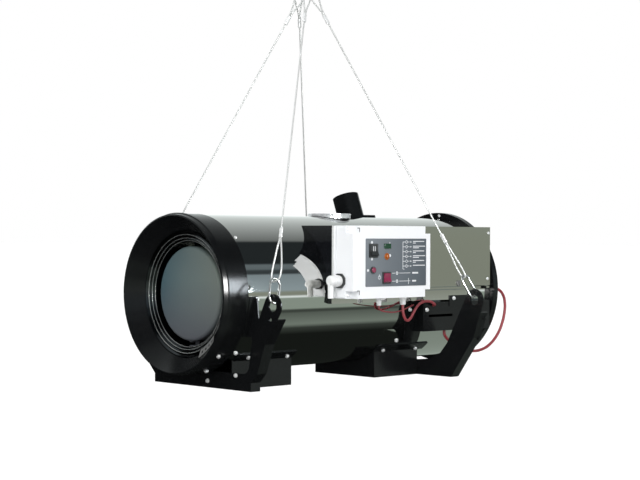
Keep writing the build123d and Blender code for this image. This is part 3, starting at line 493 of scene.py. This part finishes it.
# Bolts round the casing, on both sides: x, and the angle above the level
ROUND_BOLTS = (
    (44, -47.6), (67, -71), (104, -46), (119, -2.5), (163, -51.3), (317, -52.8),
    (721, -53.7), (868, -54), (750, -43.1),
)
FRAME_FACE_X = 70.0
FRAME_CORNER = (151.0, -225.0)
FRAME_MIDDLE = (-29.0, -248.0)
LOWER_BOX_BOLTS = ((749, -57), (806, -59), (928, -26), (995, -26))

# Bolts through the turned edges of the rear frame: y and z, and the way they face
FLANGE_X = 907.0
FLANGE_BOLTS = ((378, -157), (409, -101))
FLANGE_OUT = (0.81, -0.58)

# Sheet screws: on the casing behind the cowl, on the side cover and on the rear rim
CASING_SCREW = (101.0, 45.6)
COVER_SCREWS = ((1097, 177), (1093, 32), (409, 178), (760, 178))
RIM_SCREW_X = 1080.0
RIM_SCREW_R = 234.0
RIM_SCREW_TURNS = (2.5, 122.5, 242.5)

# Screws of the control box's lid
LID_SCREW_X = (413, 723)
LID_SCREW_Z = (-5, 187)
LID_SCREW_START = -350.0


def seat(start, direction):
    # The nearest carrying surface from a start point along a direction.
    best = None
    for name in CARRIERS:
        hit, place, normal, _ = frame["nodes"][name].ray_cast(start, direction)
        if hit and (best is None or (place - start).length < (best[0] - start).length):
            best = (place, normal)
    return best


def add_bolt(mesh, start, direction, hexagon=True):
    place, normal = seat(start, direction)
    if normal.dot(direction) > 0:
        normal = -normal
    base = place - normal * HEAD_SINK * MM
    if hexagon:
        add_turned(mesh, WASHER, base, normal, WASHER_SIDES)
        add_turned(mesh, HEX, base, normal, HEX_SIDES, random.random())
    else:
        add_turned(mesh, DOME, base, normal, DOME_SIDES)


def add_casing_bolt(mesh, x, elevation, side, hexagon=True):
    # A head that is driven in towards the casing's axis.
    out = outward(elevation, side)
    start = at(x, 0, 0) + out * (CASING_R + SCREW_START) * MM
    add_bolt(mesh, start, -out, hexagon)


def make_frame_bolts():
    mesh = bmesh.new()
    y, z = FRAME_CORNER
    for side in (-1, 1):
        for x, elevation in ROUND_BOLTS:
            add_casing_bolt(mesh, x, elevation, side)
        add_bolt(mesh, at(FRAME_FACE_X, y * side, z), BACKWARD)
    add_bolt(mesh, at(FRAME_FACE_X, *FRAME_MIDDLE), BACKWARD)
    for x, z in LOWER_BOX_BOLTS:
        add_bolt(mesh, at(x, COVER_Y - SCREW_START, z), INWARD)
    piece("frame_bolts", mesh, "zinc")


def make_flange_bolts():
    mesh = bmesh.new()
    for side in (-1, 1):
        for y, z in FLANGE_BOLTS:
            slope = Vector((0, side * FLANGE_OUT[0], FLANGE_OUT[1]))
            add_bolt(mesh, at(FLANGE_X, side * y, z) + slope * SCREW_START * MM, -slope)
    piece("flange_bolts", mesh, "black_paint")


def make_sheet_screws():
    mesh = bmesh.new()
    for side in (-1, 1):
        add_casing_bolt(mesh, *CASING_SCREW, side, False)
    for x, z in COVER_SCREWS:
        add_bolt(mesh, at(x, COVER_Y - SCREW_START, z), INWARD, False)
    for turn in RIM_SCREW_TURNS:
        angle = math.radians(turn)
        start = at(RIM_SCREW_X, -RIM_SCREW_R * math.sin(angle), RIM_SCREW_R * math.cos(angle))
        add_bolt(mesh, start, BACKWARD, False)
    piece("sheet_screws", mesh, "zinc", smooth=True)


def make_lid_screws():
    mesh = bmesh.new()
    for x in LID_SCREW_X:
        for z in LID_SCREW_Z:
            add_bolt(mesh, at(x, LID_SCREW_START, z), INWARD, False)
    piece("lid_screws", mesh, "zinc", smooth=True)


# Printed signs on the control plate: dots, lines and plain marks

PRINT = 0.12
DOT_SIDES = 24
RING_SIDES = 20

# Dots beside the switches and lamps, and the tick above the green lamp
DOTS = ((480.7, 147.6), (481, 100.1), (556.3, 109.7), (464.7, 67.1))
DOT_R = 4.2
LAMP_TICK = (554.5, 556.5, 129, 149)

# A column of timing signs: a bracket, then a ring, a dot and plain bars in each row
BRACKET = (610.6, 612.4, 70, 150)
BRACKET_FOOT = (612.4, 618, 68.4, 70)
ROWS = 6
ROW_TOP = 149.1
ROW_STEP = 14.15
ROW_LEADS = ((612.4, 622, 0.8), (632, 640, 0.7))
ROW_RING = (627, 4.6, 1.4)
ROW_DOT = (645.5, 2.2)
BAR_START = 654.9
LONG_BAR = (704, 4, 0.6, 3.0)
SHORT_BAR = (667, 14, -4.2, -1.8)

# Two rows beside the main switch: height, and the end of the last bar
SWITCH_ROWS = ((58, 678), (34.5, 669))
SWITCH_LINES = ((566, 578, 0.7), (596, 644, 0.7))
SWITCH_RING = (586.5, 5.0, 2.6)
SWITCH_BAR = (652, 2.4)
SWITCH_CROSS = (635.2, 637.2, 25, 43)

# Power sign: a ring and a stroke
POWER_RING = (512.5, 46.3, 5.6, 1.6)
POWER_STROKE = (511.6, 513.4, 47, 55)


def add_mark(mesh, left, right, low, high):
    add_block(mesh, (left, right), (LABEL_FRONT - PRINT, LABEL_FRONT + PRINT), (low, high))


def add_dot(mesh, x, z, radius):
    profile = ((radius, 0.0), (radius, PRINT))
    add_turned(mesh, profile, at(x, LABEL_FRONT, z), -INWARD, DOT_SIDES)


def add_ring(mesh, x, z, radius, width):
    inner = radius - width
    edges = []
    for number in range(RING_SIDES):
        angle = 2 * math.pi * number / RING_SIDES
        spoke = Vector((math.cos(angle), math.sin(angle)))
        corners = []
        for reach, y in ((radius, 0.0), (radius, -PRINT), (inner, -PRINT), (inner, 0.0)):
            corners.append(mesh.verts.new(at(x + spoke.x * reach, LABEL_FRONT + y, z + spoke.y * reach)))
        edges.append(corners)
    add_ring_faces(mesh, edges + edges[:1])


def add_timing_row(mesh, row):
    z = ROW_TOP - row * ROW_STEP
    shift = row % 2
    for left, right, half in ROW_LEADS:
        add_mark(mesh, left, right, z - half, z + half)
    x, radius, width = ROW_RING
    add_ring(mesh, x, z, radius, width)
    x, radius = ROW_DOT
    add_dot(mesh, x, z, radius)
    bars = (LONG_BAR, SHORT_BAR) if row < ROWS - 1 else (LONG_BAR,)
    for end, step, low, high in bars:
        add_mark(mesh, BAR_START, end + step * shift, z + low, z + high)


def add_switch_row(mesh, z, end):
    for left, right, half in SWITCH_LINES:
        add_mark(mesh, left, right, z - half, z + half)
    x, radius, width = SWITCH_RING
    add_ring(mesh, x, z, radius, width)
    start, half = SWITCH_BAR
    add_mark(mesh, start, end, z - half, z + half)


def make_print():
    mesh = bmesh.new()
    for x, z in DOTS:
        add_dot(mesh, x, z, DOT_R)
    for mark in (LAMP_TICK, BRACKET, BRACKET_FOOT, SWITCH_CROSS, POWER_STROKE):
        add_mark(mesh, *mark)
    for row in range(ROWS):
        add_timing_row(mesh, row)
    for z, end in SWITCH_ROWS:
        add_switch_row(mesh, z, end)
    add_ring(mesh, *POWER_RING)
    piece("plate_print", mesh, "white_plastic", finish="print_and_highlight_white")


# Small parts of the control box

# Painted shadows: dark L-shaped strips beside the lid's corner recesses, where shade falls at their inner
# corners; heights, and the sizes of each L
LID_SHADOW_X = 429.0
LID_SHADOW_HEIGHTS = ((177, 190), (-3, 10))
LID_SHADOW_STEM = 2.2
LID_SHADOW_ARM = 8.0
LID_SHADOW_DEPTH = (BOX_FRONT - 0.6, BOX_FRONT + 0.4)

# A closed round nut under the first gland
CAP = ((9.4, 0.0), (11.0, 1.0), (11.4, 4.0), (10.8, 8.0), (8.6, 11.4), (5.0, 13.4), (0.6, 14.0))
CAP_AT = (553.0, -290.0, -10.0)
CAP_SIDES = 28

# Painted highlights: pale strips on the selector's rocker, standing in for the highlights on its glossy
# boot
HIGHLIGHT_X = (481.5, 488.5)
HIGHLIGHT_HALF = 0.9
HIGHLIGHT_HEIGHTS = (111, 137)
HIGHLIGHT_LOOK = (LABEL_FRONT - 25, 124)
HIGHLIGHT_PROUD = 0.7
HIGHLIGHT_SINK = 0.3


def make_lid_shadows():
    mesh = bmesh.new()
    stem = (LID_SHADOW_X, LID_SHADOW_X + LID_SHADOW_STEM)
    arm = (LID_SHADOW_X - LID_SHADOW_ARM, LID_SHADOW_X)
    for low, high in LID_SHADOW_HEIGHTS:
        add_block(mesh, stem, LID_SHADOW_DEPTH, (low, high))
        add_block(mesh, arm, LID_SHADOW_DEPTH, (high - LID_SHADOW_STEM, high))
    piece("lid_shadows", mesh, "black_plastic")


def make_gland_cap():
    mesh = bmesh.new()
    add_turned(mesh, CAP, at(*CAP_AT), -INWARD, CAP_SIDES)
    piece("gland_cap", mesh, "light_plastic", smooth=True)


def make_selector_highlights():
    mesh = bmesh.new()
    for x in HIGHLIGHT_X:
        point = frame["nodes"]["select_rocker"].ray_cast(at(x, *HIGHLIGHT_LOOK), INWARD)[1]
        y = point.y / MM
        add_block(mesh, (x - HIGHLIGHT_HALF, x + HIGHLIGHT_HALF), (y - HIGHLIGHT_PROUD, y + HIGHLIGHT_SINK), HIGHLIGHT_HEIGHTS)
    piece("selector_highlights", mesh, "black_plastic", "select_switch", "print_and_highlight_white")


# Slotted plate on the funnel, below the outlet on the -Y side

PLATE_ARC = (-41.0, -64.5)
PLATE_EDGE = ((47.4, 172.5), (30.5, 195.0))
PLATE_WALL = 1.2
PLATE_CELLS = 17
PLATE_RHYTHM = 4
PLATE_SLOTS = (1, 2)
SLOT_SHARES = (0.3, 0.7)
CELL_FACES = ((3, 2, 1, 0), (4, 5, 6, 7), (0, 1, 5, 4), (1, 2, 6, 5), (2, 3, 7, 6), (3, 0, 4, 7))
WELD = 0.01


def plate_corner(mesh, share, turn, out):
    # A point of the plate: share goes from its inner edge to its outer one.
    inner, outer = PLATE_EDGE
    slope = Vector((outer[0] - inner[0], outer[1] - inner[1])).normalized()
    lift = Vector((-slope.y, slope.x)) * PLATE_WALL
    x = inner[0] + (outer[0] - inner[0]) * share + lift.x * out
    radius = inner[1] + (outer[1] - inner[1]) * share + lift.y * out
    return mesh.verts.new(at(x, 0, 0) + outward(turn) * radius * MM)


def add_cell(mesh, shares, turns):
    near, far = shares
    low, high = turns
    outline = ((near, low), (far, low), (far, high), (near, high))
    corners = [plate_corner(mesh, share, turn, out) for out in (0, 1) for share, turn in outline]
    for face in CELL_FACES:
        mesh.faces.new([corners[number] for number in face])


def make_slotted_plate():
    mesh = bmesh.new()
    start, end = PLATE_ARC
    for number in range(PLATE_CELLS):
        turns = [start + (end - start) * place / PLATE_CELLS for place in (number, number + 1)]
        if number % PLATE_RHYTHM in PLATE_SLOTS:
            add_cell(mesh, (0.0, SLOT_SHARES[0]), turns)
            add_cell(mesh, (SLOT_SHARES[1], 1.0), turns)
        else:
            add_cell(mesh, (0.0, 1.0), turns)
    bmesh.ops.remove_doubles(mesh, verts=mesh.verts, dist=WELD * MM)
    piece("slotted_plate", mesh, "zinc", finish="dull_steel")


# Rolled edges of the outlet rings

# Place along the axis, radius of the ring and thickness of the edge
RING_EDGES = ((51.0, 168.6, 1.4), (55.3, 158.6, 1.1), (61.6, 151.4, 1.1))
EDGE_STEPS = 160
EDGE_SIDES = 8


def make_ring_edges():
    mesh = bmesh.new()
    for x, radius, thickness in RING_EDGES:
        rings = []
        for step in range(EDGE_STEPS):
            out = outward(360 * step / EDGE_STEPS)
            ring = []
            for number in range(EDGE_SIDES):
                angle = 2 * math.pi * number / EDGE_SIDES
                reach = radius + math.cos(angle) * thickness
                ring.append(mesh.verts.new(at(x + math.sin(angle) * thickness, 0, 0) + out * reach * MM))
            rings.append(ring)
        add_ring_faces(mesh, rings + rings[:1])
    piece("ring_edges", mesh, "spun_steel", finish="hook_steel", smooth=True)


# Wire ropes with their eyes

# The rope and its strands
ROPE_R = 2.5
ROPE_CORE_R = 1.55
STRAND_R = 0.95
CORE_OVERLAP = 0.3
STRANDS = 6
LAY_LENGTH = 34.0
LAY_STEPS = 10
STRAND_SIDES = 6
LINE_STEPS = 10
LINE_ORDER = 3

# Frames, hooks and link, as in the part's source
FRONT_FRAME_X = 110.0
REAR_FRAME_X = 881.0
FRAME_WALL = 4.0
FRONT_EYE_Y = 302.0
REAR_EYE_Y = 365.0
EYE_Z = -27.0
EYE_HOLE_R = 15.0
HOOK_R = 3.5
HOOK_DROP = 5.2
HOOK_LENGTH = 80.0
BAR_Z = 905.0
ROPE_INNER_STEP = 11.0
ROPE_OUTER_STEP = 28.0
FIT = 0.3
LINK_R = 6.5

# Rope eyes: half width, shoulder and length to the ferrule; where they close; their pinched shares
FRONT_LOOP = (21.0, 48.0, 130.0)
REAR_LOOP = (9.0, 48.0, 113.0)
UPPER_LOOP = (15.0, 34.0, 80.0)
LOOP_CLOSED = 8.0
LOOP_OPEN = 26.0
LOOP_NECK = 0.4
LOOP_SIDE = 0.86

# Pressed sleeve round two strands, pinched twice: height and share of its width
FERRULE = 30.0
FERRULE_WIDTH = 12.6
FERRULE_DEPTH = 7.4
FERRULE_SIDES = 24
FERRULE_ROUND = 0.75
FERRULE_SHAPE = (
    (0.0, 0.8), (0.8, 0.94), (2.2, 1.0), (8.5, 1.0), (10.0, 0.93), (13.0, 0.93), (14.2, 0.99),
    (15.8, 0.99), (17.0, 0.93), (20.0, 0.93), (21.5, 1.0), (27.8, 1.0), (29.2, 0.94), (30.0, 0.8),
)

# Each rope: its frame, its eye on the frame, its place on the link, the way its hook faces, its lower eye
ROPES = (
    (FRONT_FRAME_X, -FRONT_EYE_Y, -ROPE_INNER_STEP, -1, FRONT_LOOP),
    (FRONT_FRAME_X, FRONT_EYE_Y, ROPE_INNER_STEP, -1, FRONT_LOOP),
    (REAR_FRAME_X, -REAR_EYE_Y, -ROPE_OUTER_STEP, 1, REAR_LOOP),
    (REAR_FRAME_X, REAR_EYE_Y, ROPE_OUTER_STEP, 1, REAR_LOOP),
)
ROUTE_SHARES = (0.0, 0.25, 0.5, 0.75, 1.0)


def smooth_line(name, points):
    # The points of a NURBS line with the given control points.
    curve = bpy.data.curves.new(name, "CURVE")
    curve.dimensions = "3D"
    curve.resolution_u = LINE_STEPS
    spline = curve.splines.new("NURBS")
    spline.points.add(len(points) - 1)
    for control, point in zip(spline.points, points):
        control.co = (*point, 1)
    spline.order_u = LINE_ORDER
    spline.use_endpoint_u = True
    holder = bpy.data.objects.new(name, curve)
    line = bpy.data.meshes.new_from_object(holder)
    places = [vertex.co.copy() for vertex in line.vertices]
    bpy.data.objects.remove(holder)
    bpy.data.curves.remove(curve)
    bpy.data.meshes.remove(line)
    return places


def evenly(places, step):
    # The same line with its points about one step apart.
    lengths = [0.0]
    for one, two in zip(places, places[1:]):
        lengths.append(lengths[-1] + (two - one).length)
    count = max(2, round(lengths[-1] / step))
    spaced = []
    segment = 0
    for number in range(count + 1):
        reach = lengths[-1] * number / count
        while segment < len(lengths) - 2 and lengths[segment + 1] < reach:
            segment += 1
        share = (reach - lengths[segment]) / (lengths[segment + 1] - lengths[segment])
        spaced.append(places[segment].lerp(places[segment + 1], min(1.0, share)))
    return spaced


def add_tube(mesh, centres, radius, sides):
    along = [centres[1] - centres[0]]
    along += [after - before for before, after in zip(centres, centres[2:])]
    along.append(centres[-1] - centres[-2])
    side = along[0].orthogonal().normalized()
    rings = []
    for centre, run in zip(centres, along):
        run = run.normalized()
        side = (side - run * side.dot(run)).normalized()
        other = run.cross(side)
        ring = []
        for number in range(sides):
            angle = 2 * math.pi * number / sides
            spoke = side * math.cos(angle) + other * math.sin(angle)
            ring.append(mesh.verts.new(centre + spoke * radius))
        rings.append(ring)
    add_closed_form(mesh, rings)


def laid_rope(places):
    # Strands that wind round the line, with a core inside them.
    centres = evenly(places, LAY_LENGTH / LAY_STEPS * MM)
    side = (centres[1] - centres[0]).orthogonal().normalized()
    sides = []
    for before, after in zip([centres[0]] + centres, centres[1:] + [centres[-1]]):
        run = (after - before).normalized()
        side = (side - run * side.dot(run)).normalized()
        sides.append((side.copy(), run.cross(side)))
    mesh = bmesh.new()
    add_tube(mesh, centres, (ROPE_R - 2 * STRAND_R + CORE_OVERLAP) * MM, STRAND_SIDES)
    for strand in range(STRANDS):
        winding = []
        for number, centre in enumerate(centres):
            angle = 2 * math.pi * (number / LAY_STEPS + strand / STRANDS)
            one, two = sides[number]
            spoke = one * math.cos(angle) + two * math.sin(angle)
            winding.append(centre + spoke * ROPE_CORE_R * MM)
        add_tube(mesh, winding, STRAND_R * MM, STRAND_SIDES)
    return mesh


def loop_points(origin, across, down, bend, loop):
    # Control points of a rope eye that bends round the origin and closes at its ferrule.
    half, shoulder, length = loop
    strand = ROPE_R + FIT / 2
    side = [
        (strand, length),
        (strand, length - LOOP_CLOSED),
        (half * LOOP_NECK, length - LOOP_OPEN),
        (half * LOOP_SIDE, shoulder),
        (half, shoulder / 2),
        (half * LOOP_SIDE, 0),
        (half * LOOP_NECK, -bend),
    ]
    outline = side + [(-x, y) for x, y in reversed(side)]
    return [origin + (across * x + down * y) * MM for x, y in outline]


def squarer(value):
    # A sine or cosine pushed outwards, which makes a circle a little square.
    return math.copysign(abs(value) ** FERRULE_ROUND, value)


def add_ferrule(mesh, base, along, wide):
    across = along.cross(wide)
    rings = []
    for height, scale in FERRULE_SHAPE:
        ring = []
        for number in range(FERRULE_SIDES):
            angle = 2 * math.pi * number / FERRULE_SIDES
            x = squarer(math.cos(angle)) * FERRULE_WIDTH / 2 * scale
            y = squarer(math.sin(angle)) * FERRULE_DEPTH / 2 * scale
            ring.append(mesh.verts.new(base + (along * height + wide * x + across * y) * MM))
        rings.append(ring)
    add_closed_form(mesh, rings)


def make_eyes(number, lower, upper):
    # Both eyes of a rope as one piece, from the control points of each.
    eyes = laid_rope(smooth_line("eye_line", lower))
    above = laid_rope(smooth_line("eye_line", upper))
    joined = bpy.data.meshes.new("eye")
    above.to_mesh(joined)
    above.free()
    eyes.from_mesh(joined)
    bpy.data.meshes.remove(joined)
    loops = piece(f"rope_eyes_{number}", eyes, "wire_rope", smooth=True)
    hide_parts(f"rope_loops_{number}")
    return loops


def make_ferrules(number, lower, upper):
    # Both ferrules of a rope, each from its base, its direction and the direction of its width.
    mesh = bmesh.new()
    add_ferrule(mesh, *lower)
    add_ferrule(mesh, *upper)
    ferrules = piece(f"ferrules_{number}", mesh, "ferrule_metal", smooth=True)
    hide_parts("rope_ferrules")
    return ferrules


def make_rope(number, plate_x, eye_y, bar_y, out, loop):
    # The rope points from the bottom of its hook in the frame's eye to the link's bar
    eye = at(plate_x + FRAME_WALL / 2, eye_y, EYE_Z + EYE_HOLE_R - HOOK_DROP)
    bar = at(HANG_X, bar_y, BAR_Z)
    up = (bar - eye).normalized()
    level = Vector((out, 0, 0))
    level = (level - up * level.dot(up)).normalized()
    side = level.cross(up)
    top = eye + up * (HOOK_LENGTH - 2 * HOOK_R) * MM
    flat = up.cross(INWARD).normalized()
    lean = math.acos(INWARD.cross(flat).dot(up))
    # Its eyes bend round the hook's top and round the bar, which it meets at a slant
    lower_bend = HOOK_R + ROPE_R + FIT
    upper_bend = LINK_R / math.cos(lean) + ROPE_R + FIT
    lower = loop_points(top, side, up, lower_bend, loop)
    upper = loop_points(bar, flat, -up, upper_bend, UPPER_LOOP)
    loops = make_eyes(number, lower, upper)
    # The straight rope lies between the two ferrules
    start = top + up * (loop[-1] + FERRULE) * MM
    length = (bar - start).length - (UPPER_LOOP[-1] + FERRULE) * MM
    line = smooth_line("rope_line", [start + up * length * share for share in ROUTE_SHARES])
    rope = piece(f"rope_wire_{number}", laid_rope(line), "wire_rope", smooth=True)
    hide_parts(f"rope_{number}")
    ferrules = make_ferrules(number, (start, -up, side), (start + up * length, up, flat))
    for made in (loops, rope, ferrules):
        made.visible_glossy = False


# Studio

# Dark screens beyond the outlet end, one on the far side and one straight along the axis
FAR_SCREEN_X = (-0.45, -0.35)
FAR_SCREEN_TURN = (math.radians(130), math.radians(150))
AXIS_SCREEN_X = (-0.86, -0.78)
SCREEN_LEVEL = 0.04

FLOOR_SIZE = 400.0
FLOOR_COLOUR = (0.8, 0.8, 0.8, 1)
FLOOR_GLOW = 0.3

# A pale sheet on the ground beyond the fan end: x and y of its corners in metres
GROUND_CARD = (
    (1.42, -0.65), (2.6, -0.65), (4.5, 2.1), (2.95, 2.1), (2.15, 1.3), (1.6, 0.6), (1.45, 0.0),
)
CARD_LIFT = 0.05
CARD_LEVEL = 0.33

SUN_FROM = (-0.61, -0.59, 0.53)
SUN_POWER = 2.5
SUN_SPREAD = 50

# Small lamps that only gloss shows: place, width and height in metres, power in watts, colour
LAMP_TARGET = (-0.45, 0, -1.03)
LAMPS = {
    "cowl_light": ((0.345, -1.2, -0.80), (0.15, 0.36), 7.0, (0.86, 0.94, 1.0)),
    "lip_light": ((-0.08, -1.2, -0.79), (0.18, 0.33), 16.0, (1, 1, 1)),
    "ring_light": ((-1.15, -1.9, -0.95), (0.06, 0.9), 12.0, (1, 1, 1)),
}


def sky_ramp(nodes, links, factor):
    # Colours by the angle above the level, from -180 to 180 degrees.
    bands = nodes.new("ShaderNodeValToRGB")
    stops = []
    for high, low, top, bottom, tint in SKY_BANDS:
        stops.append((high, top, tint))
        stops.append((low, bottom, tint))
    stops.sort(key=lambda stop: stop[0])
    elements = bands.color_ramp.elements
    while len(elements) < len(stops):
        elements.new(0.5)
    for element, (angle, level, tint) in zip(elements, stops):
        element.position = (angle + 180) / 360
        element.color = (*(level * part for part in tint), 1)
    links.new(factor, bands.inputs["Fac"])
    return bands.outputs["Color"]


def screen_light(nodes, links, along, angle):
    # How much of the bands the dark screens let through.
    height = arithmetic(nodes, links, "ABSOLUTE", angle, 0.0)
    left = spread(nodes, links, along, 1.0, 0.0, *FAR_SCREEN_X)
    behind = spread(nodes, links, height, 0.0, 1.0, *FAR_SCREEN_TURN)
    far = arithmetic(nodes, links, "MULTIPLY", left, behind)
    tip = spread(nodes, links, along, 1.0, 0.0, *AXIS_SCREEN_X)
    shade = arithmetic(nodes, links, "MAXIMUM", far, tip)
    return spread(nodes, links, shade, 1.0, SCREEN_LEVEL)


def studio_bands(nodes, links):
    # The bands round the casing's axis, with the dark screens.
    way = axes(nodes, links, "Generated")
    toward = arithmetic(nodes, links, "MULTIPLY", way["Y"], -1.0)
    angle = arithmetic(nodes, links, "ARCTAN2", way["Z"], toward)
    share = spread(nodes, links, angle, 0.0, 1.0, -math.pi, math.pi)
    studio = nodes.new("ShaderNodeVectorMath")
    studio.operation = "SCALE"
    links.new(sky_ramp(nodes, links, share), studio.inputs[0])
    links.new(screen_light(nodes, links, way["X"], angle), studio.inputs["Scale"])
    return studio.outputs["Vector"]


def make_world():
    # Metal sees the studio, the camera and glass see plain white, and the rest gets an even light.
    world = bpy.data.worlds.new("studio")
    bpy.context.scene.world = world
    world.use_nodes = True
    nodes = world.node_tree.nodes
    links = world.node_tree.links
    seen = nodes.new("ShaderNodeLightPath").outputs
    clear = arithmetic(nodes, links, "MAXIMUM", seen["Is Camera Ray"], seen["Is Transmission Ray"])
    plain = blend(nodes, links, clear, (DIFFUSE_LEVEL, DIFFUSE_LEVEL, DIFFUSE_LEVEL), (1, 1, 1))
    light = blend(nodes, links, seen["Is Glossy Ray"], plain, studio_bands(nodes, links))
    links.new(light, nodes["Background"].inputs["Color"])


def make_floor():
    # A matt floor that the camera sees as white where no shadow falls.
    bpy.ops.mesh.primitive_plane_add(size=FLOOR_SIZE, location=(0, 0, FLOOR_Z * MM))
    floor = bpy.context.object
    floor.name = "floor"
    floor.visible_glossy = False
    material, nodes, links, shader = new_material("floor")
    shader.inputs["Base Color"].default_value = FLOOR_COLOUR
    shader.inputs["Roughness"].default_value = 1.0
    shader.inputs["Specular IOR Level"].default_value = 0.0
    shader.inputs["Emission Color"].default_value = (1, 1, 1, 1)
    seen = nodes.new("ShaderNodeLightPath")
    glow = spread(nodes, links, seen.outputs["Is Camera Ray"], 0.0, FLOOR_GLOW)
    links.new(glow, shader.inputs["Emission Strength"])
    floor.data.materials.append(material)


def make_ground_card():
    # The pale sheet, which only polished metal sees.
    mesh = bmesh.new()
    mesh.faces.new([mesh.verts.new((x, y, FLOOR_Z * MM + CARD_LIFT)) for x, y in GROUND_CARD])
    data = bpy.data.meshes.new("ground_card")
    mesh.to_mesh(data)
    mesh.free()
    card = bpy.data.objects.new("ground_card", data)
    bpy.context.scene.collection.objects.link(card)
    material, nodes, links, shader = new_material("ground_card")
    shader.inputs["Base Color"].default_value = (0, 0, 0, 1)
    shader.inputs["Emission Color"].default_value = (*GREEN, 1)
    shader.inputs["Emission Strength"].default_value = CARD_LEVEL
    card.data.materials.append(material)
    card.visible_camera = False
    card.visible_diffuse = False
    card.visible_transmission = False
    card.visible_shadow = False


def make_sun():
    data = bpy.data.lights.new("key_light", "SUN")
    data.energy = SUN_POWER
    data.angle = math.radians(SUN_SPREAD)
    lamp = bpy.data.objects.new("key_light", data)
    bpy.context.scene.collection.objects.link(lamp)
    lamp.rotation_euler = Vector(SUN_FROM).to_track_quat("Z", "Y").to_euler()
    lamp.visible_glossy = False


def make_lamp(name, place, size, power, colour):
    data = bpy.data.lights.new(name, "AREA")
    data.shape = "RECTANGLE"
    data.size, data.size_y = size
    data.energy = power
    data.color = colour
    lamp = bpy.data.objects.new(name, data)
    bpy.context.scene.collection.objects.link(lamp)
    lamp.location = place
    lamp.rotation_euler = (Vector(LAMP_TARGET) - Vector(place)).to_track_quat("-Z", "Y").to_euler()
    lamp.visible_diffuse = False
    lamp.visible_camera = False


make_camera()
dress_nodes()
for number, rope in enumerate(ROPES, 1):
    make_rope(number, *rope)
random.seed(SEED)
make_frame_bolts()
make_flange_bolts()
make_sheet_screws()
make_lid_screws()
make_print()
make_lid_shadows()
make_gland_cap()
make_selector_highlights()
make_slotted_plate()
make_ring_edges()
make_world()
make_floor()
make_sun()
for name, lamp in LAMPS.items():
    make_lamp(name, *lamp)
make_ground_card()

view = bpy.context.scene.view_settings
view.view_transform = "Standard"
